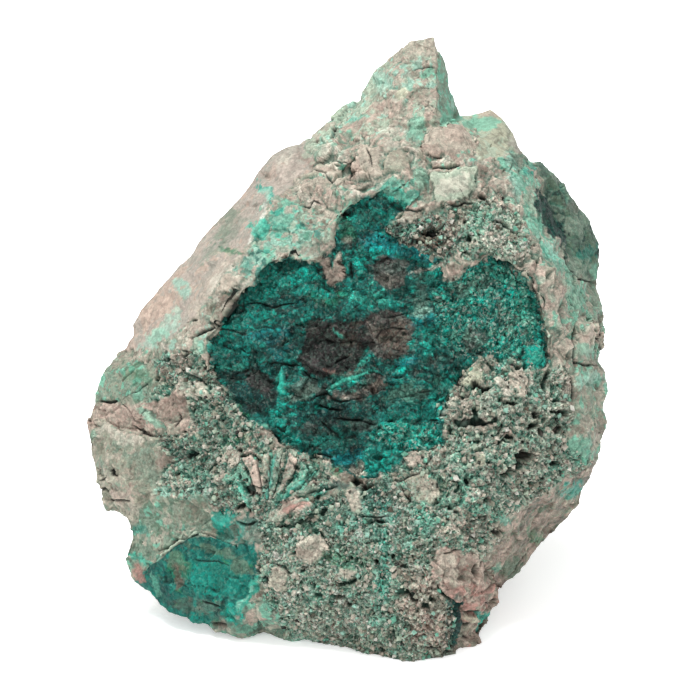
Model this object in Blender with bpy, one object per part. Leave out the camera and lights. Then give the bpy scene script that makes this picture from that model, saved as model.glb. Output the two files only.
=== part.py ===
"""Chrysocolla specimen: one broken lump of ore that stands on its flat underside.

The lump is one piece of natural stone, so it is one node. Its surface is a skin of hand-placed corners
joined into triangles. The corners are given in the lump's display frame, in millimetres, as a viewer has
them who stands in front of it, VIEW_DISTANCE away, and looks down at it by VIEW_TILT:
  across  to the viewer's right of the middle
  up      above the line that the foremost foot touches
  away    behind the foremost foot, along the line of sight
The row frame is metres with +Z up, -Y towards the viewer, and the origin in the middle of the box's floor.
"""

import math

import bmesh
import bpy
from mathutils import Vector, noise
from mathutils.geometry import delaunay_2d_cdt

MM = 0.001
NODE = "chrysocolla_stone"

# The display frame.
VIEW_TILT = math.radians(20.0)
VIEW_DISTANCE = 600.0
EYE_LEVEL = 38.9
# Where the middle of the box lies, to the right of and behind the foremost foot's line.
BOX_MIDDLE = Vector((-0.54, 27.26, 0.0))

# The longest triangle side, in millimetres, on the show face, round the back and on the flat underside.
SHOW_SIDE = 2.4
BACK_SIDE = 4.0
FLOOR_SIDE = 6.0

# Chips broken from the skin, as (size, depth) in millimetres.
COARSE_CHIPS = (5.5, 0.4)
FINE_CHIPS = (2.4, 0.18)
# Broad fracture faces, only round the back: none before the first distance away, all of them past the second.
BACK_FACES = (15.0, 2.0)
BACK_FACES_FROM = (20.0, 27.0)
# Scrambles a chip's place into its tilt, so that neighbouring chips differ.
TILT_MIX = (Vector((1.0, 1.7, 2.3)), Vector((2.9, 1.1, 0.7)), Vector((0.4, 2.6, 1.9)))
ON_FLOOR = None

# The outline that the viewer sees, clockwise from the tip. ON_FLOOR marks the feet, which touch the ground.
OUTLINE = (
    # the peak's steep right side, down to the notch
    (10.5, 78.0, 12.0), (11.2, 75.7, 12.4), (11.9, 73.2, 13.6), (12.7, 70.8, 15.2), (13.7, 68.1, 17.5),
    # the block behind the notch
    (15.5, 68.3, 18.5), (17.5, 68.7, 18.5), (18.9, 67.9, 18.0), (20.0, 66.2, 17.5), (21.3, 64.6, 17.5),
    (22.4, 62.8, 17.5),
    # the dark right shoulder
    (24.2, 62.1, 20.0), (26.0, 61.0, 22.0), (27.8, 59.0, 23.5), (29.3, 56.8, 24.0), (30.5, 54.2, 24.0),
    (31.0, 51.5, 23.5), (31.0, 47.5, 22.0), (31.3, 44.0, 20.5), (31.9, 41.8, 19.0), (31.5, 40.2, 17.5),
    # the banded right side
    (31.0, 38.5, 16.0), (31.3, 36.0, 14.5), (31.9, 33.5, 13.5), (31.6, 31.3, 12.8), (32.2, 29.0, 12.4),
    (31.8, 27.3, 12.6), (30.9, 25.0, 13.0),
    # the undercut face, down to the right foot
    (29.8, 23.0, 14.2), (29.0, 21.5, 15.2), (28.8, 19.8, 16.2), (27.2, 18.0, 17.4), (25.2, 16.0, 18.2),
    (23.4, 14.2, 18.6), (21.8, 12.2, 18.6), (20.4, 10.6, 18.2), (19.2, 9.9, 17.4), (18.5, 9.2, 15.4),
    (17.6, 7.4, 12.6), (17.1, 5.2, 10.0), (16.3, 3.0, 6.6), (15.5, 2.0, 4.4), (13.8, 1.9, 4.2),
    # the feet
    (13.2, 0.9, ON_FLOOR), (10.5, 0.4, ON_FLOOR), (7.5, 0.0, ON_FLOOR), (5.5, 0.3, ON_FLOOR),
    (3.5, 0.8, ON_FLOOR), (1.5, 1.1, ON_FLOOR), (-1.0, 2.0, ON_FLOOR), (-4.0, 2.3, ON_FLOOR),
    # the lower left lobe, clear of the ground
    (-8.0, 3.1, 6.4), (-10.8, 3.5, 6.8), (-12.0, 3.0, 6.4), (-13.5, 3.0, 6.0), (-15.5, 3.7, 6.0),
    (-18.0, 4.2, 6.6), (-20.5, 5.2, 7.4), (-22.5, 6.2, 8.4), (-24.0, 7.2, 9.4), (-25.2, 8.7, 10.4),
    (-26.6, 10.1, 11.6), (-27.6, 11.6, 12.6), (-27.9, 13.3, 13.2), (-27.6, 15.5, 13.4), (-27.6, 17.9, 13.6),
    # the left block
    (-28.8, 18.6, 15.6), (-30.2, 19.2, 16.8), (-31.2, 20.7, 17.4), (-31.6, 22.3, 17.2), (-32.1, 24.5, 16.8),
    (-32.5, 27.5, 16.8), (-32.7, 29.8, 16.6), (-32.0, 32.2, 16.8), (-31.6, 34.2, 17.2), (-30.8, 36.2, 17.6),
    # the long smooth flank
    (-29.5, 37.9, 17.6), (-28.0, 39.4, 17.6), (-27.0, 40.7, 17.5), (-26.9, 42.0, 17.5), (-26.0, 44.0, 17.4),
    (-23.9, 46.5, 17.0), (-21.5, 49.3, 17.0), (-19.0, 52.3, 17.0), (-16.5, 55.0, 17.4), (-14.3, 57.7, 17.8),
    (-12.6, 60.0, 18.0), (-11.6, 61.5, 18.0), (-9.8, 63.6, 18.4), (-8.0, 64.1, 18.4), (-6.3, 64.6, 18.0),
    # the crest, up to the peak
    (-4.8, 66.0, 18.4), (-2.8, 67.7, 18.6), (-1.0, 69.2, 18.8), (0.8, 70.6, 18.8), (2.2, 72.0, 18.0),
    (2.8, 73.5, 17.2), (4.5, 74.8, 16.2), (6.3, 76.0, 14.8), (7.8, 77.4, 13.4), (9.0, 77.7, 12.6),
)

# Sharp edges of the show face. Each is a run of corners that stays an edge of the skin.
RIDGES = {
    "flank ridge": (
        (-5.2, 64.3, 15.6), (-4.7, 62.8, 12.8), (-5.1, 61.2, 11.0), (-6.1, 59.8, 9.8), (-7.8, 58.7, 9.0),
        (-9.9, 57.5, 8.4), (-10.5, 56.0, 8.0), (-12.0, 53.8, 7.2), (-13.5, 51.3, 6.6), (-15.2, 49.0, 6.2),
        (-16.6, 47.2, 6.0), (-17.8, 45.5, 6.2), (-18.6, 44.0, 6.6), (-20.0, 42.8, 7.3), (-21.5, 41.2, 8.2),
        (-23.5, 39.3, 9.6), (-25.0, 37.8, 11.4), (-26.8, 36.9, 13.6), (-28.6, 37.3, 15.8),
    ),
    "peak edge": (
        (10.8, 76.0, 11.2), (11.0, 74.0, 10.6), (10.9, 71.5, 9.8), (10.9, 69.0, 9.0), (11.4, 67.3, 8.6),
        (12.2, 66.6, 9.4), (13.8, 67.0, 12.4), (15.8, 66.4, 14.6), (18.0, 66.4, 14.8), (19.4, 66.3, 15.0),
    ),
    "top block foot": (
        (9.4, 62.6, 6.6), (10.3, 62.4, 5.8), (12.0, 62.5, 5.4), (14.2, 62.9, 5.8), (15.6, 63.3, 7.0),
    ),
    "slab edge": (
        (9.7, 60.4, 4.8), (10.6, 61.0, 4.8), (12.3, 61.3, 4.5), (14.6, 61.9, 4.5), (15.9, 62.1, 5.0),
    ),
    "shoulder ridge": (
        (16.6, 62.9, 8.2), (17.8, 61.6, 6.3), (19.0, 59.6, 5.3), (20.4, 57.2, 4.6), (21.4, 55.2, 4.2),
        (22.4, 53.0, 4.0), (23.8, 50.8, 4.2), (25.2, 48.8, 4.8), (26.0, 46.5, 5.0), (26.4, 43.5, 5.0),
        (26.8, 40.5, 4.6), (27.2, 37.5, 4.4), (27.6, 34.5, 4.2), (28.4, 31.5, 4.4), (29.2, 28.5, 5.4),
        (29.6, 26.2, 7.0),
    ),
    "green band edge": (
        (20.4, 61.6, 9.0), (21.8, 59.2, 8.2), (23.0, 56.5, 8.0), (24.0, 53.5, 8.0), (25.4, 51.0, 8.4),
        (27.0, 48.5, 9.0), (27.8, 45.5, 9.6), (28.0, 42.8, 9.0),
    ),
    "hollow lip": (
        (22.6, 61.2, 13.0), (23.5, 58.9, 12.2), (24.3, 56.3, 11.6), (25.1, 53.8, 11.6), (26.1, 51.4, 12.0),
        (27.6, 49.2, 12.6),
    ),
    "hollow floor": ((24.5, 58.6, 17.6), (25.5, 56.2, 18.6), (26.4, 53.8, 18.4), (27.2, 51.6, 17.4)),
    "undercut edge": (
        (30.0, 24.5, 10.0), (28.4, 23.0, 8.4), (26.4, 21.5, 6.6), (24.0, 20.4, 4.8), (21.5, 19.6, 3.0),
        (19.6, 18.2, 1.6), (18.3, 16.5, 1.0), (17.3, 14.5, 0.8), (16.8, 12.8, 1.0), (16.9, 11.0, 2.2),
        (17.5, 9.2, 5.2),
    ),
    "lobe crack": (
        (-24.7, 13.0, 10.0), (-23.7, 13.9, 9.2), (-21.9, 15.3, 8.2), (-20.4, 16.3, 7.0), (-19.0, 16.9, 6.0),
        (-17.8, 16.5, 5.4), (-16.0, 15.8, 4.8), (-14.3, 15.2, 4.2),
    ),
    "lobe facet edge": (
        (-26.2, 11.3, 10.8), (-24.5, 12.3, 8.6), (-23.4, 13.3, 7.6), (-21.7, 14.6, 6.6), (-20.2, 15.6, 5.6),
        (-19.0, 16.2, 4.9), (-17.7, 15.9, 4.3), (-15.9, 15.2, 3.7), (-14.3, 14.6, 3.2), (-12.8, 14.8, 2.6),
        (-11.2, 13.8, 2.0), (-11.4, 12.2, 1.8), (-12.0, 10.2, 2.0), (-12.4, 8.0, 2.4), (-13.4, 6.2, 3.2),
        (-14.2, 4.9, 4.4),
    ),
    "left block top": (
        (-32.0, 28.6, 15.2), (-30.2, 29.2, 13.4), (-28.8, 28.3, 12.2), (-26.0, 28.1, 10.6), (-24.1, 27.6, 9.2),
        (-23.0, 26.4, 8.2), (-22.6, 24.8, 7.8), (-23.9, 23.4, 8.6), (-25.0, 21.6, 9.8), (-26.4, 19.4, 11.6),
    ),
    "left block crack": (
        (-32.1, 29.5, 16.2), (-30.2, 30.0, 14.4), (-28.6, 29.0, 13.4), (-26.0, 28.8, 11.8), (-24.2, 28.4, 10.0),
    ),
    "left groove": ((-31.3, 32.4, 16.2), (-29.8, 32.5, 14.2), (-28.3, 32.4, 12.8)),
    "foot crevice left": ((11.4, 9.0, -3.0), (11.9, 6.8, -2.4), (11.8, 4.5, -1.6), (11.9, 2.4, -0.2)),
    "foot crevice floor": ((12.9, 7.0, 1.4), (12.9, 4.8, 2.2), (12.8, 2.6, 2.8)),
    "foot crevice right": ((14.2, 8.0, 0.2), (13.9, 6.2, 0.8), (14.0, 4.5, 1.8), (13.9, 2.9, 3.0)),
}

# The rim of the shallow hollow that holds the chrysocolla, and how far its floor drops below each corner.
HOLLOW_RIM = (
    (-17.6, 35.0, 5.2, 0.6), (-17.2, 37.6, 5.0, 0.8), (-17.9, 40.4, 5.4, 1.2), (-16.8, 41.4, 4.9, 1.8),
    (-15.6, 43.0, 4.5, 2.2), (-14.4, 44.9, 4.3, 2.4), (-13.3, 46.2, 4.2, 2.4), (-12.0, 47.3, 4.2, 2.0),
    (-11.1, 48.7, 4.1, 1.8), (-9.8, 49.9, 3.8, 1.6), (-8.0, 50.3, 3.4, 1.4), (-5.5, 50.0, 3.2, 0.9),
    (-3.6, 50.6, 3.1, 0.6), (-2.3, 52.0, 3.0, 0.6), (-2.4, 54.0, 3.2, 0.6), (-1.3, 55.7, 3.6, 0.9),
    (0.3, 57.4, 4.0, 1.0), (2.2, 58.0, 3.9, 0.8), (5.0, 59.4, 3.9, 0.6), (7.6, 60.4, 4.0, 0.5),
    (8.3, 58.6, 3.5, 0.5), (6.8, 56.6, 3.0, 0.7), (5.0, 54.8, 2.8, 0.9), (6.2, 53.2, 2.2, 1.2),
    (8.2, 52.2, 1.8, 1.4), (10.2, 51.0, 1.7, 1.4), (11.6, 49.9, 1.8, 1.0), (12.3, 47.5, 1.9, 0.7),
    (13.6, 46.6, 1.8, 0.6), (15.4, 49.2, 1.9, 1.0), (17.0, 50.3, 2.0, 1.4), (18.6, 50.5, 2.1, 1.6),
    (20.0, 49.7, 2.3, 1.8), (21.6, 48.2, 2.7, 2.0), (22.8, 46.7, 3.0, 2.0), (23.8, 45.0, 3.3, 2.0),
    (24.3, 43.2, 3.4, 1.6), (24.1, 41.9, 3.3, 1.2), (25.1, 40.4, 3.5, 1.2), (25.0, 38.2, 3.3, 1.0),
    (24.0, 36.5, 2.8, 0.8), (22.2, 36.2, 1.9, 0.7), (20.8, 37.3, 1.5, 0.7), (18.3, 36.7, 1.0, 0.7),
    (16.8, 38.1, 0.9, 0.8), (15.4, 37.0, 0.7, 1.0), (14.2, 35.2, 0.4, 1.2), (13.3, 33.2, 0.1, 1.2),
    (12.1, 31.6, -0.2, 1.2), (11.5, 30.2, -0.4, 1.2), (11.2, 28.6, -0.6, 1.0), (11.5, 26.8, -0.8, 0.8),
    (10.0, 25.7, -0.9, 0.6), (7.8, 25.5, -0.9, 0.6), (6.3, 24.2, -1.0, 0.6), (4.0, 23.3, -0.8, 0.5),
    (1.0, 23.2, -0.5, 0.5), (-2.0, 24.3, -0.1, 0.5), (-5.0, 25.3, 0.4, 0.6), (-8.2, 26.3, 1.0, 0.8),
    (-10.0, 28.2, 1.8, 0.8), (-12.5, 28.7, 2.3, 0.6), (-14.3, 30.2, 3.0, 0.5), (-15.8, 32.6, 4.0, 0.5),
)
HOLLOW_WALL = 0.4

# Single corners of the show face.
CORNERS = (
    # the hollow's floor, left, middle and right
    (-14.5, 42.0, 6.2), (-11.0, 45.0, 5.6), (-14.5, 38.5, 5.6), (-13.0, 34.0, 4.8), (-9.0, 48.0, 5.0),
    (-9.0, 41.0, 4.4), (-8.5, 37.2, 3.8), (-9.0, 33.0, 3.2), (-11.0, 30.5, 3.4), (-5.0, 47.5, 4.2),
    (-4.0, 43.0, 3.4), (-3.5, 38.5, 2.8), (-5.5, 35.2, 2.6), (-5.0, 31.0, 2.2), (-5.0, 27.5, 1.6),
    (-1.5, 50.0, 3.8), (0.0, 46.0, 3.2), (1.0, 41.0, 2.6), (0.0, 36.0, 2.1), (0.0, 32.5, 1.8),
    (0.0, 28.0, 1.0), (0.0, 25.5, 0.6), (2.0, 55.0, 4.0), (4.0, 50.0, 3.2), (5.0, 46.0, 2.7),
    (5.0, 40.0, 2.1), (5.0, 34.0, 1.5), (5.0, 29.0, 0.7), (5.0, 25.5, 0.1), (9.0, 48.0, 2.7),
    (9.0, 43.0, 2.0), (9.0, 37.0, 1.4), (8.5, 32.0, 1.0), (9.0, 28.0, 0.3), (13.0, 44.0, 2.4),
    (13.0, 39.0, 1.9), (12.0, 35.0, 1.6), (16.0, 46.5, 3.0), (17.0, 42.0, 2.6), (19.0, 47.0, 3.8),
    (20.5, 44.0, 4.0), (20.0, 40.0, 2.9), (22.5, 39.2, 3.6), (22.2, 43.0, 4.4),
    # the peak and the crest
    (4.0, 72.5, 13.4), (6.5, 74.5, 12.2), (8.0, 72.0, 10.0), (5.8, 71.0, 11.0), (7.5, 69.3, 9.2),
    (3.0, 69.5, 13.2), (0.0, 67.5, 15.6), (4.5, 66.8, 10.2), (-2.0, 66.0, 14.8), (1.5, 65.3, 10.8),
    (8.0, 66.5, 8.4), (12.5, 73.0, 13.4), (12.4, 69.8, 13.2), (16.8, 67.4, 16.6),
    # the pink block above the crevice, and the pale slab below it
    (9.4, 64.3, 7.0), (11.0, 65.6, 6.8), (13.2, 65.8, 7.0), (15.0, 65.2, 8.6), (15.0, 59.5, 3.9),
    (15.0, 58.0, 3.6), (12.0, 57.4, 3.4), (9.8, 58.6, 3.8), (12.5, 59.5, 3.7),
    # the block behind the notch
    (19.8, 64.8, 14.0), (19.4, 63.6, 11.6), (18.0, 62.9, 9.6), (17.8, 64.8, 12.0),
    # chips between the flank and the top of the hollow
    (-3.5, 63.5, 11.0), (-1.5, 61.0, 9.2), (0.2, 61.3, 9.0), (0.8, 63.5, 8.2), (3.2, 64.0, 7.4),
    (3.4, 60.6, 5.6), (1.0, 59.9, 6.0), (-2.0, 58.5, 6.8), (-4.0, 59.5, 8.0), (-5.5, 57.5, 7.4),
    (-7.5, 56.8, 7.6), (-3.0, 56.0, 5.4), (5.5, 63.8, 7.0), (7.6, 63.5, 6.6), (7.4, 61.8, 5.4),
    (5.0, 61.3, 5.2), (-9.0, 54.5, 6.2), (-6.0, 54.0, 5.0), (-9.5, 52.0, 5.4), (-5.0, 52.0, 4.0),
    (-12.7, 49.8, 5.4), (-14.8, 46.9, 4.9), (-17.2, 43.4, 5.4),
    # the rough ground from the hollow to the right shoulder
    (9.5, 55.5, 2.8), (12.0, 54.5, 2.4), (10.8, 52.6, 1.9), (14.5, 55.5, 2.4), (17.0, 56.5, 2.8),
    (17.5, 59.5, 4.6), (18.8, 57.0, 3.6), (13.5, 51.5, 1.8), (17.0, 53.0, 1.8), (20.0, 54.0, 2.8),
    (20.5, 51.5, 2.4), (14.0, 49.4, 1.8), (23.2, 48.6, 3.0), (24.8, 46.0, 3.8), (25.3, 43.0, 4.0),
    # the dark right flank
    (26.6, 58.4, 18.6), (28.0, 55.5, 18.6), (28.8, 52.5, 18.6), (29.2, 49.0, 17.6), (28.8, 46.0, 14.6),
    (29.6, 43.4, 13.6), (25.0, 60.6, 18.0),
    # the banded right side
    (28.0, 41.0, 8.4), (29.0, 41.8, 8.8), (30.2, 40.4, 11.0), (29.0, 38.5, 7.2), (30.3, 37.0, 9.8),
    (29.4, 34.5, 7.2), (30.5, 32.0, 8.8), (30.8, 28.6, 8.8),
    # the porous ground below and right of the hollow
    (15.5, 35.0, -0.2), (18.0, 34.0, -0.4), (20.5, 35.5, 0.6), (23.5, 34.5, 1.6), (25.8, 36.0, 3.0),
    (14.0, 31.5, -1.0), (17.0, 30.5, -1.2), (20.0, 31.0, -0.8), (23.5, 31.0, 0.6), (26.3, 31.5, 2.4),
    (13.5, 28.0, -1.6), (17.0, 27.0, -1.8), (20.5, 27.0, -0.8), (24.0, 27.5, 1.0), (27.0, 28.0, 3.2),
    (13.0, 24.5, -2.2), (16.5, 23.8, -2.2), (20.0, 23.5, -0.6), (23.5, 24.0, 1.6), (26.5, 24.5, 4.2),
    (9.0, 22.2, -2.2), (12.0, 20.5, -3.0), (15.5, 20.0, -2.4), (18.5, 20.8, -0.6), (22.0, 21.5, 2.0),
    # the undercut face
    (25.0, 18.4, 11.4), (22.0, 16.0, 11.0), (20.0, 13.5, 10.4), (18.8, 11.4, 10.4), (27.2, 20.3, 12.6),
    # the lower front
    (4.0, 20.0, -2.0), (0.0, 20.5, -1.2), (-3.5, 21.2, -0.4), (5.5, 17.0, -3.0), (9.0, 17.5, -3.6),
    (13.0, 17.0, -3.2), (1.0, 16.5, -2.2), (2.5, 13.0, -2.8), (7.0, 13.5, -3.8), (11.5, 13.2, -3.8),
    (14.5, 13.6, -2.2), (5.0, 9.0, -3.2), (0.5, 9.0, -2.2), (8.6, 9.6, -4.0), (-4.0, 9.5, -1.0),
    (-7.5, 7.4, 0.6), (6.5, 5.0, -2.4), (2.0, 5.0, -1.0), (-3.0, 5.2, 0.8), (-8.0, 5.2, 2.8),
    (9.8, 5.5, -2.8), (9.5, 2.4, -0.9), (-11.2, 6.0, 2.6),
    # the pink wedge over the foot crevice, and the blocks beside it
    (11.2, 10.6, -4.0), (13.1, 7.9, -3.0), (14.2, 9.4, -2.6), (15.6, 11.2, -1.4), (13.0, 11.8, -3.6),
    (16.2, 9.6, 1.2), (16.2, 7.6, 2.0), (15.8, 5.6, 3.0), (15.4, 3.4, 4.4), (16.7, 6.0, 6.4),
    # the lower left lobe
    (-24.8, 20.4, 9.4), (-22.0, 21.2, 7.0), (-18.0, 20.3, 5.0), (-17.2, 18.4, 4.8), (-21.5, 18.2, 7.6),
    (-25.5, 16.5, 11.0), (-14.5, 18.0, 3.4), (-12.0, 17.4, 2.4), (-24.2, 9.6, 8.8), (-22.0, 8.8, 7.2),
    (-18.5, 7.0, 5.6), (-18.0, 11.5, 4.6), (-21.0, 12.2, 6.2), (-15.0, 10.0, 3.2), (-16.5, 5.2, 5.4),
    # the left block, the pink face above it and the green face above that
    (-28.0, 25.0, 11.4), (-28.5, 21.5, 12.4), (-30.5, 24.0, 13.6), (-29.6, 22.6, 13.4), (-30.0, 31.4, 13.6),
    (-26.4, 31.6, 10.8), (-25.2, 30.0, 9.8), (-30.4, 34.2, 14.8), (-29.0, 36.2, 14.6), (-26.6, 36.2, 12.2),
    (-24.4, 35.8, 9.4), (-24.6, 33.4, 9.2), (-27.5, 33.4, 11.4),
    # the rough ground left of the hollow
    (-22.5, 37.0, 8.4), (-21.0, 38.8, 7.2), (-19.5, 37.2, 6.0), (-19.7, 40.6, 6.4), (-21.5, 34.0, 7.2),
    (-18.8, 33.8, 5.2), (-20.0, 31.0, 5.8), (-23.2, 30.5, 8.0), (-17.0, 30.5, 4.2), (-21.0, 27.6, 6.6),
    (-18.0, 27.0, 4.6), (-14.8, 27.5, 3.0), (-20.0, 24.0, 6.2), (-16.5, 24.0, 3.8), (-13.5, 25.5, 2.2),
    (-19.5, 22.0, 5.6), (-15.5, 21.5, 3.4), (-12.5, 22.5, 1.8), (-12.8, 19.4, 2.2), (-10.0, 24.5, 1.0),
    (-9.5, 20.8, 0.8), (-6.5, 22.5, 0.2), (-3.2, 23.2, 0.2),
    # three proud chips under the splintery ground
    (-9.2, 17.3, 0.8), (-7.5, 19.0, -0.6), (-5.5, 20.0, -0.8), (-4.5, 18.8, -0.8), (-6.6, 18.1, -1.4),
    (-8.3, 16.7, 1.4), (-5.0, 17.7, 0.4), (-8.2, 15.4, 0.0), (-3.8, 16.3, -1.2), (-2.3, 13.8, -1.4),
    (-4.2, 12.0, -1.4), (-8.0, 12.6, -0.4), (-5.8, 14.2, -1.6), (-10.2, 11.6, 0.6), (-8.7, 9.4, -0.4),
    (-7.4, 11.0, -0.4), (-10.2, 8.6, 1.2),
)

# The flat underside's hidden corners, and the corners round the back, as (right, back, height).
FLOOR_CORNERS = (
    (-12.0, 11.5), (-18.0, 15.0), (-22.5, 24.0), (-21.5, 36.0), (-10.0, 43.0), (5.0, 42.0), (14.0, 33.0),
    (15.5, 20.0), (14.5, 9.0),
)
BACK_CORNERS = (
    (-24.5, 24.0, 7.0), (-24.5, 35.0, 7.0), (-15.0, 44.5, 6.0), (-3.0, 47.5, 5.0), (9.0, 45.5, 6.0),
    (17.5, 37.0, 6.0), (19.5, 27.0, 7.0), (18.8, 18.0, 6.0),
    (-28.0, 27.0, 15.0), (-27.0, 37.0, 15.0), (-19.0, 46.5, 15.0), (-4.0, 51.5, 15.0), (10.0, 49.5, 14.0),
    (20.5, 42.0, 15.0), (25.5, 32.0, 15.0), (25.5, 23.5, 14.0),
    (-30.0, 32.0, 27.0), (-26.0, 42.0, 27.0), (-16.0, 50.0, 28.0), (-1.0, 54.0, 26.0), (14.0, 52.0, 27.0),
    (24.0, 45.5, 27.0), (30.0, 35.0, 27.0),
    (-22.5, 37.0, 36.5), (-18.0, 45.0, 38.0), (-6.0, 50.5, 39.0), (8.0, 52.0, 39.0), (20.0, 49.5, 38.0),
    (28.0, 43.5, 38.0),
    (-12.0, 43.0, 47.5), (-2.0, 47.5, 49.0), (9.0, 49.0, 49.0), (19.0, 47.5, 48.0), (26.5, 44.5, 46.0),
    (0.0, 44.5, 56.5), (8.0, 46.0, 58.0), (14.0, 46.0, 55.5), (19.5, 43.5, 54.5),
    (8.5, 41.0, 64.0), (9.5, 39.5, 67.0),
)


def seen(across, up, away):
    """The place, in millimetres from the foremost foot, of a corner given in the display frame."""
    spread = 1.0 + away / VIEW_DISTANCE
    rise = EYE_LEVEL + (up - EYE_LEVEL) * spread
    return Vector((
        across * spread,
        rise * math.sin(VIEW_TILT) + away * math.cos(VIEW_TILT),
        rise * math.cos(VIEW_TILT) - away * math.sin(VIEW_TILT),
    ))


def as_seen(place):
    """The (across, up, away) of a place: the opposite of seen()."""
    away = place.y * math.cos(VIEW_TILT) - place.z * math.sin(VIEW_TILT)
    rise = place.y * math.sin(VIEW_TILT) + place.z * math.cos(VIEW_TILT)
    spread = 1.0 + away / VIEW_DISTANCE
    return place.x / spread, EYE_LEVEL + (rise - EYE_LEVEL) / spread, away


def away_on_floor(up):
    """How far away a line of sight at this height meets the ground."""
    return up / (math.tan(VIEW_TILT) - (up - EYE_LEVEL) / VIEW_DISTANCE)


def inside(point, outline):
    """Whether a point of the view lies inside a closed outline."""
    crossings = 0
    for (x0, y0), (x1, y1) in zip(outline, outline[1:] + outline[:1]):
        if (y0 > point[1]) != (y1 > point[1]) and point[0] < x0 + (point[1] - y0) * (x1 - x0) / (y1 - y0):
            crossings += 1
    return crossings % 2 == 1


def hollow_floor():
    """The foot of the hollow's wall: the rim, moved in by HOLLOW_WALL and down by each corner's drop."""
    foot = []
    for i, (across, up, away, drop) in enumerate(HOLLOW_RIM):
        before, after = HOLLOW_RIM[i - 1], HOLLOW_RIM[(i + 1) % len(HOLLOW_RIM)]
        along = Vector((after[0] - before[0], after[1] - before[1])).normalized()
        foot.append((across + along.y * HOLLOW_WALL, up - along.x * HOLLOW_WALL, away + drop))
    return foot


def runs_of(corners, closed):
    """Index pairs that join corners into one run."""
    pairs = [(i, i + 1) for i in range(len(corners) - 1)]
    return pairs + [(len(corners) - 1, 0)] if closed else pairs


def add_skin(mesh, rim, runs, singles, turned):
    """Fills the outline with triangles whose corners are the runs and the singles, and returns the sharp edges."""
    places = [vert.co.copy() for vert in rim]
    edges = runs_of(rim, closed=True)
    for corners, closed in runs:
        edges += [(a + len(places), b + len(places)) for a, b in runs_of(corners, closed)]
        places += corners
    places += singles
    flat = [Vector(as_seen(place)[:2]) for place in places]
    found, _, triangles, origins, _, _ = delaunay_2d_cdt(flat, edges, [], 0, 1e-6)
    if any(len(origin) != 1 for origin in origins):
        raise ValueError(f"corners meet or runs cross near {[tuple(found[i]) for i, o in enumerate(origins) if len(o) != 1]}")
    verts = {i: vert for i, vert in enumerate(rim)}
    outline = [tuple(flat[i]) for i in range(len(rim))]
    for triangle in triangles:
        centre = sum((found[i] for i in triangle), Vector((0.0, 0.0))) / 3.0
        if not inside(centre, outline):
            continue
        corners = [origins[i][0] for i in triangle]
        for i in corners:
            if i not in verts:
                verts[i] = mesh.verts.new(places[i])
        mesh.faces.new([verts[i] for i in (reversed(corners) if turned else corners)])
    return [(verts[a], verts[b]) for a, b in edges if a in verts and b in verts]


def build_lump():
    """The closed skin of the lump, in millimetres, with its sharp edges marked."""
    mesh = bmesh.new()
    rim = []
    for across, up, away in OUTLINE:
        rim.append(mesh.verts.new(seen(across, up, away_on_floor(up) if away is ON_FLOOR else away)))
    show_runs = [([seen(*c) for c in corners], False) for corners in RIDGES.values()]
    show_runs.append(([seen(*corner[:3]) for corner in HOLLOW_RIM], True))
    show_runs.append(([seen(*corner) for corner in hollow_floor()], True))
    sharp = add_skin(mesh, rim, show_runs, [seen(*corner) for corner in CORNERS], turned=False)
    underside = [Vector((x, y, 0.0)) for x, y in FLOOR_CORNERS]
    back = [Vector(corner) for corner in BACK_CORNERS]
    sharp += add_skin(mesh, rim, [(underside, False)], back, turned=True)
    for a, b in sharp:
        edge = mesh.edges.get((a, b))
        if edge is not None:
            edge.smooth = False
    bmesh.ops.recalc_face_normals(mesh, faces=mesh.faces)
    return mesh


def longest_side(middle):
    """The longest triangle side allowed at this place."""
    if middle.z < 1e-4:
        return FLOOR_SIDE
    return SHOW_SIDE if as_seen(middle)[2] < 16.0 else BACK_SIDE


def refine(mesh):
    """Halves the long sides, the longest side of a triangle first, until every triangle suits its part of the lump."""
    while True:
        long_edges = [
            (edge.calc_length(), edge.index, edge) for edge in mesh.edges
            if edge.calc_length() > longest_side((edge.verts[0].co + edge.verts[1].co) / 2.0)
        ]
        if not long_edges:
            return
        chosen, taken = [], set()
        for length, _, edge in sorted(long_edges, reverse=True):
            if not taken.intersection(edge.link_faces) and all(
                length >= side.calc_length() - 1e-6 for face in edge.link_faces for side in face.edges
            ):
                chosen.append(edge)
                taken.update(edge.link_faces)
        if not chosen:
            # The longest side of the neighbouring triangle is within the limit for its own part.
            chosen = [max(long_edges)[2]]
        bmesh.ops.subdivide_edges(mesh, edges=chosen, cuts=1, use_single_edge=True)
        mesh.edges.index_update()


def chip(place, size, depth):
    """How far a chip of this size lifts or lowers the skin: each cell of the stone has its own tilted plane."""
    spot = place / size
    _, cells = noise.voronoi(spot)
    tilt = Vector([0.5 * math.sin(97.0 * cells[0].dot(mix)) for mix in TILT_MIX])
    return depth * (2.0 * (spot - cells[0]).dot(tilt) + 0.6 * tilt.x)


def roughen(mesh):
    """Breaks the flat faces into chips, and leaves the underside flat."""
    mesh.normal_update()
    moves = {}
    for vert in mesh.verts:
        if vert.co.z < 1e-4:
            continue
        near, far = BACK_FACES_FROM
        behind = min(1.0, max(0.0, (as_seen(vert.co)[2] - near) / (far - near)))
        lift = chip(vert.co, *COARSE_CHIPS) + chip(vert.co, *FINE_CHIPS) + behind * chip(vert.co, *BACK_FACES)
        moves[vert] = vert.co + vert.normal * lift
    for vert, place in moves.items():
        vert.co = place
        vert.co.z = max(place.z, 0.15)


def stone_material():
    """The pale greyish pink host rock."""
    material = bpy.data.materials.new("ore_stone")
    material.use_nodes = True
    shader = material.node_tree.nodes["Principled BSDF"]
    shader.inputs["Base Color"].default_value = (0.33, 0.38, 0.34, 1.0)
    shader.inputs["Roughness"].default_value = 0.75
    shader.inputs["Metallic"].default_value = 0.0
    return material


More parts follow.
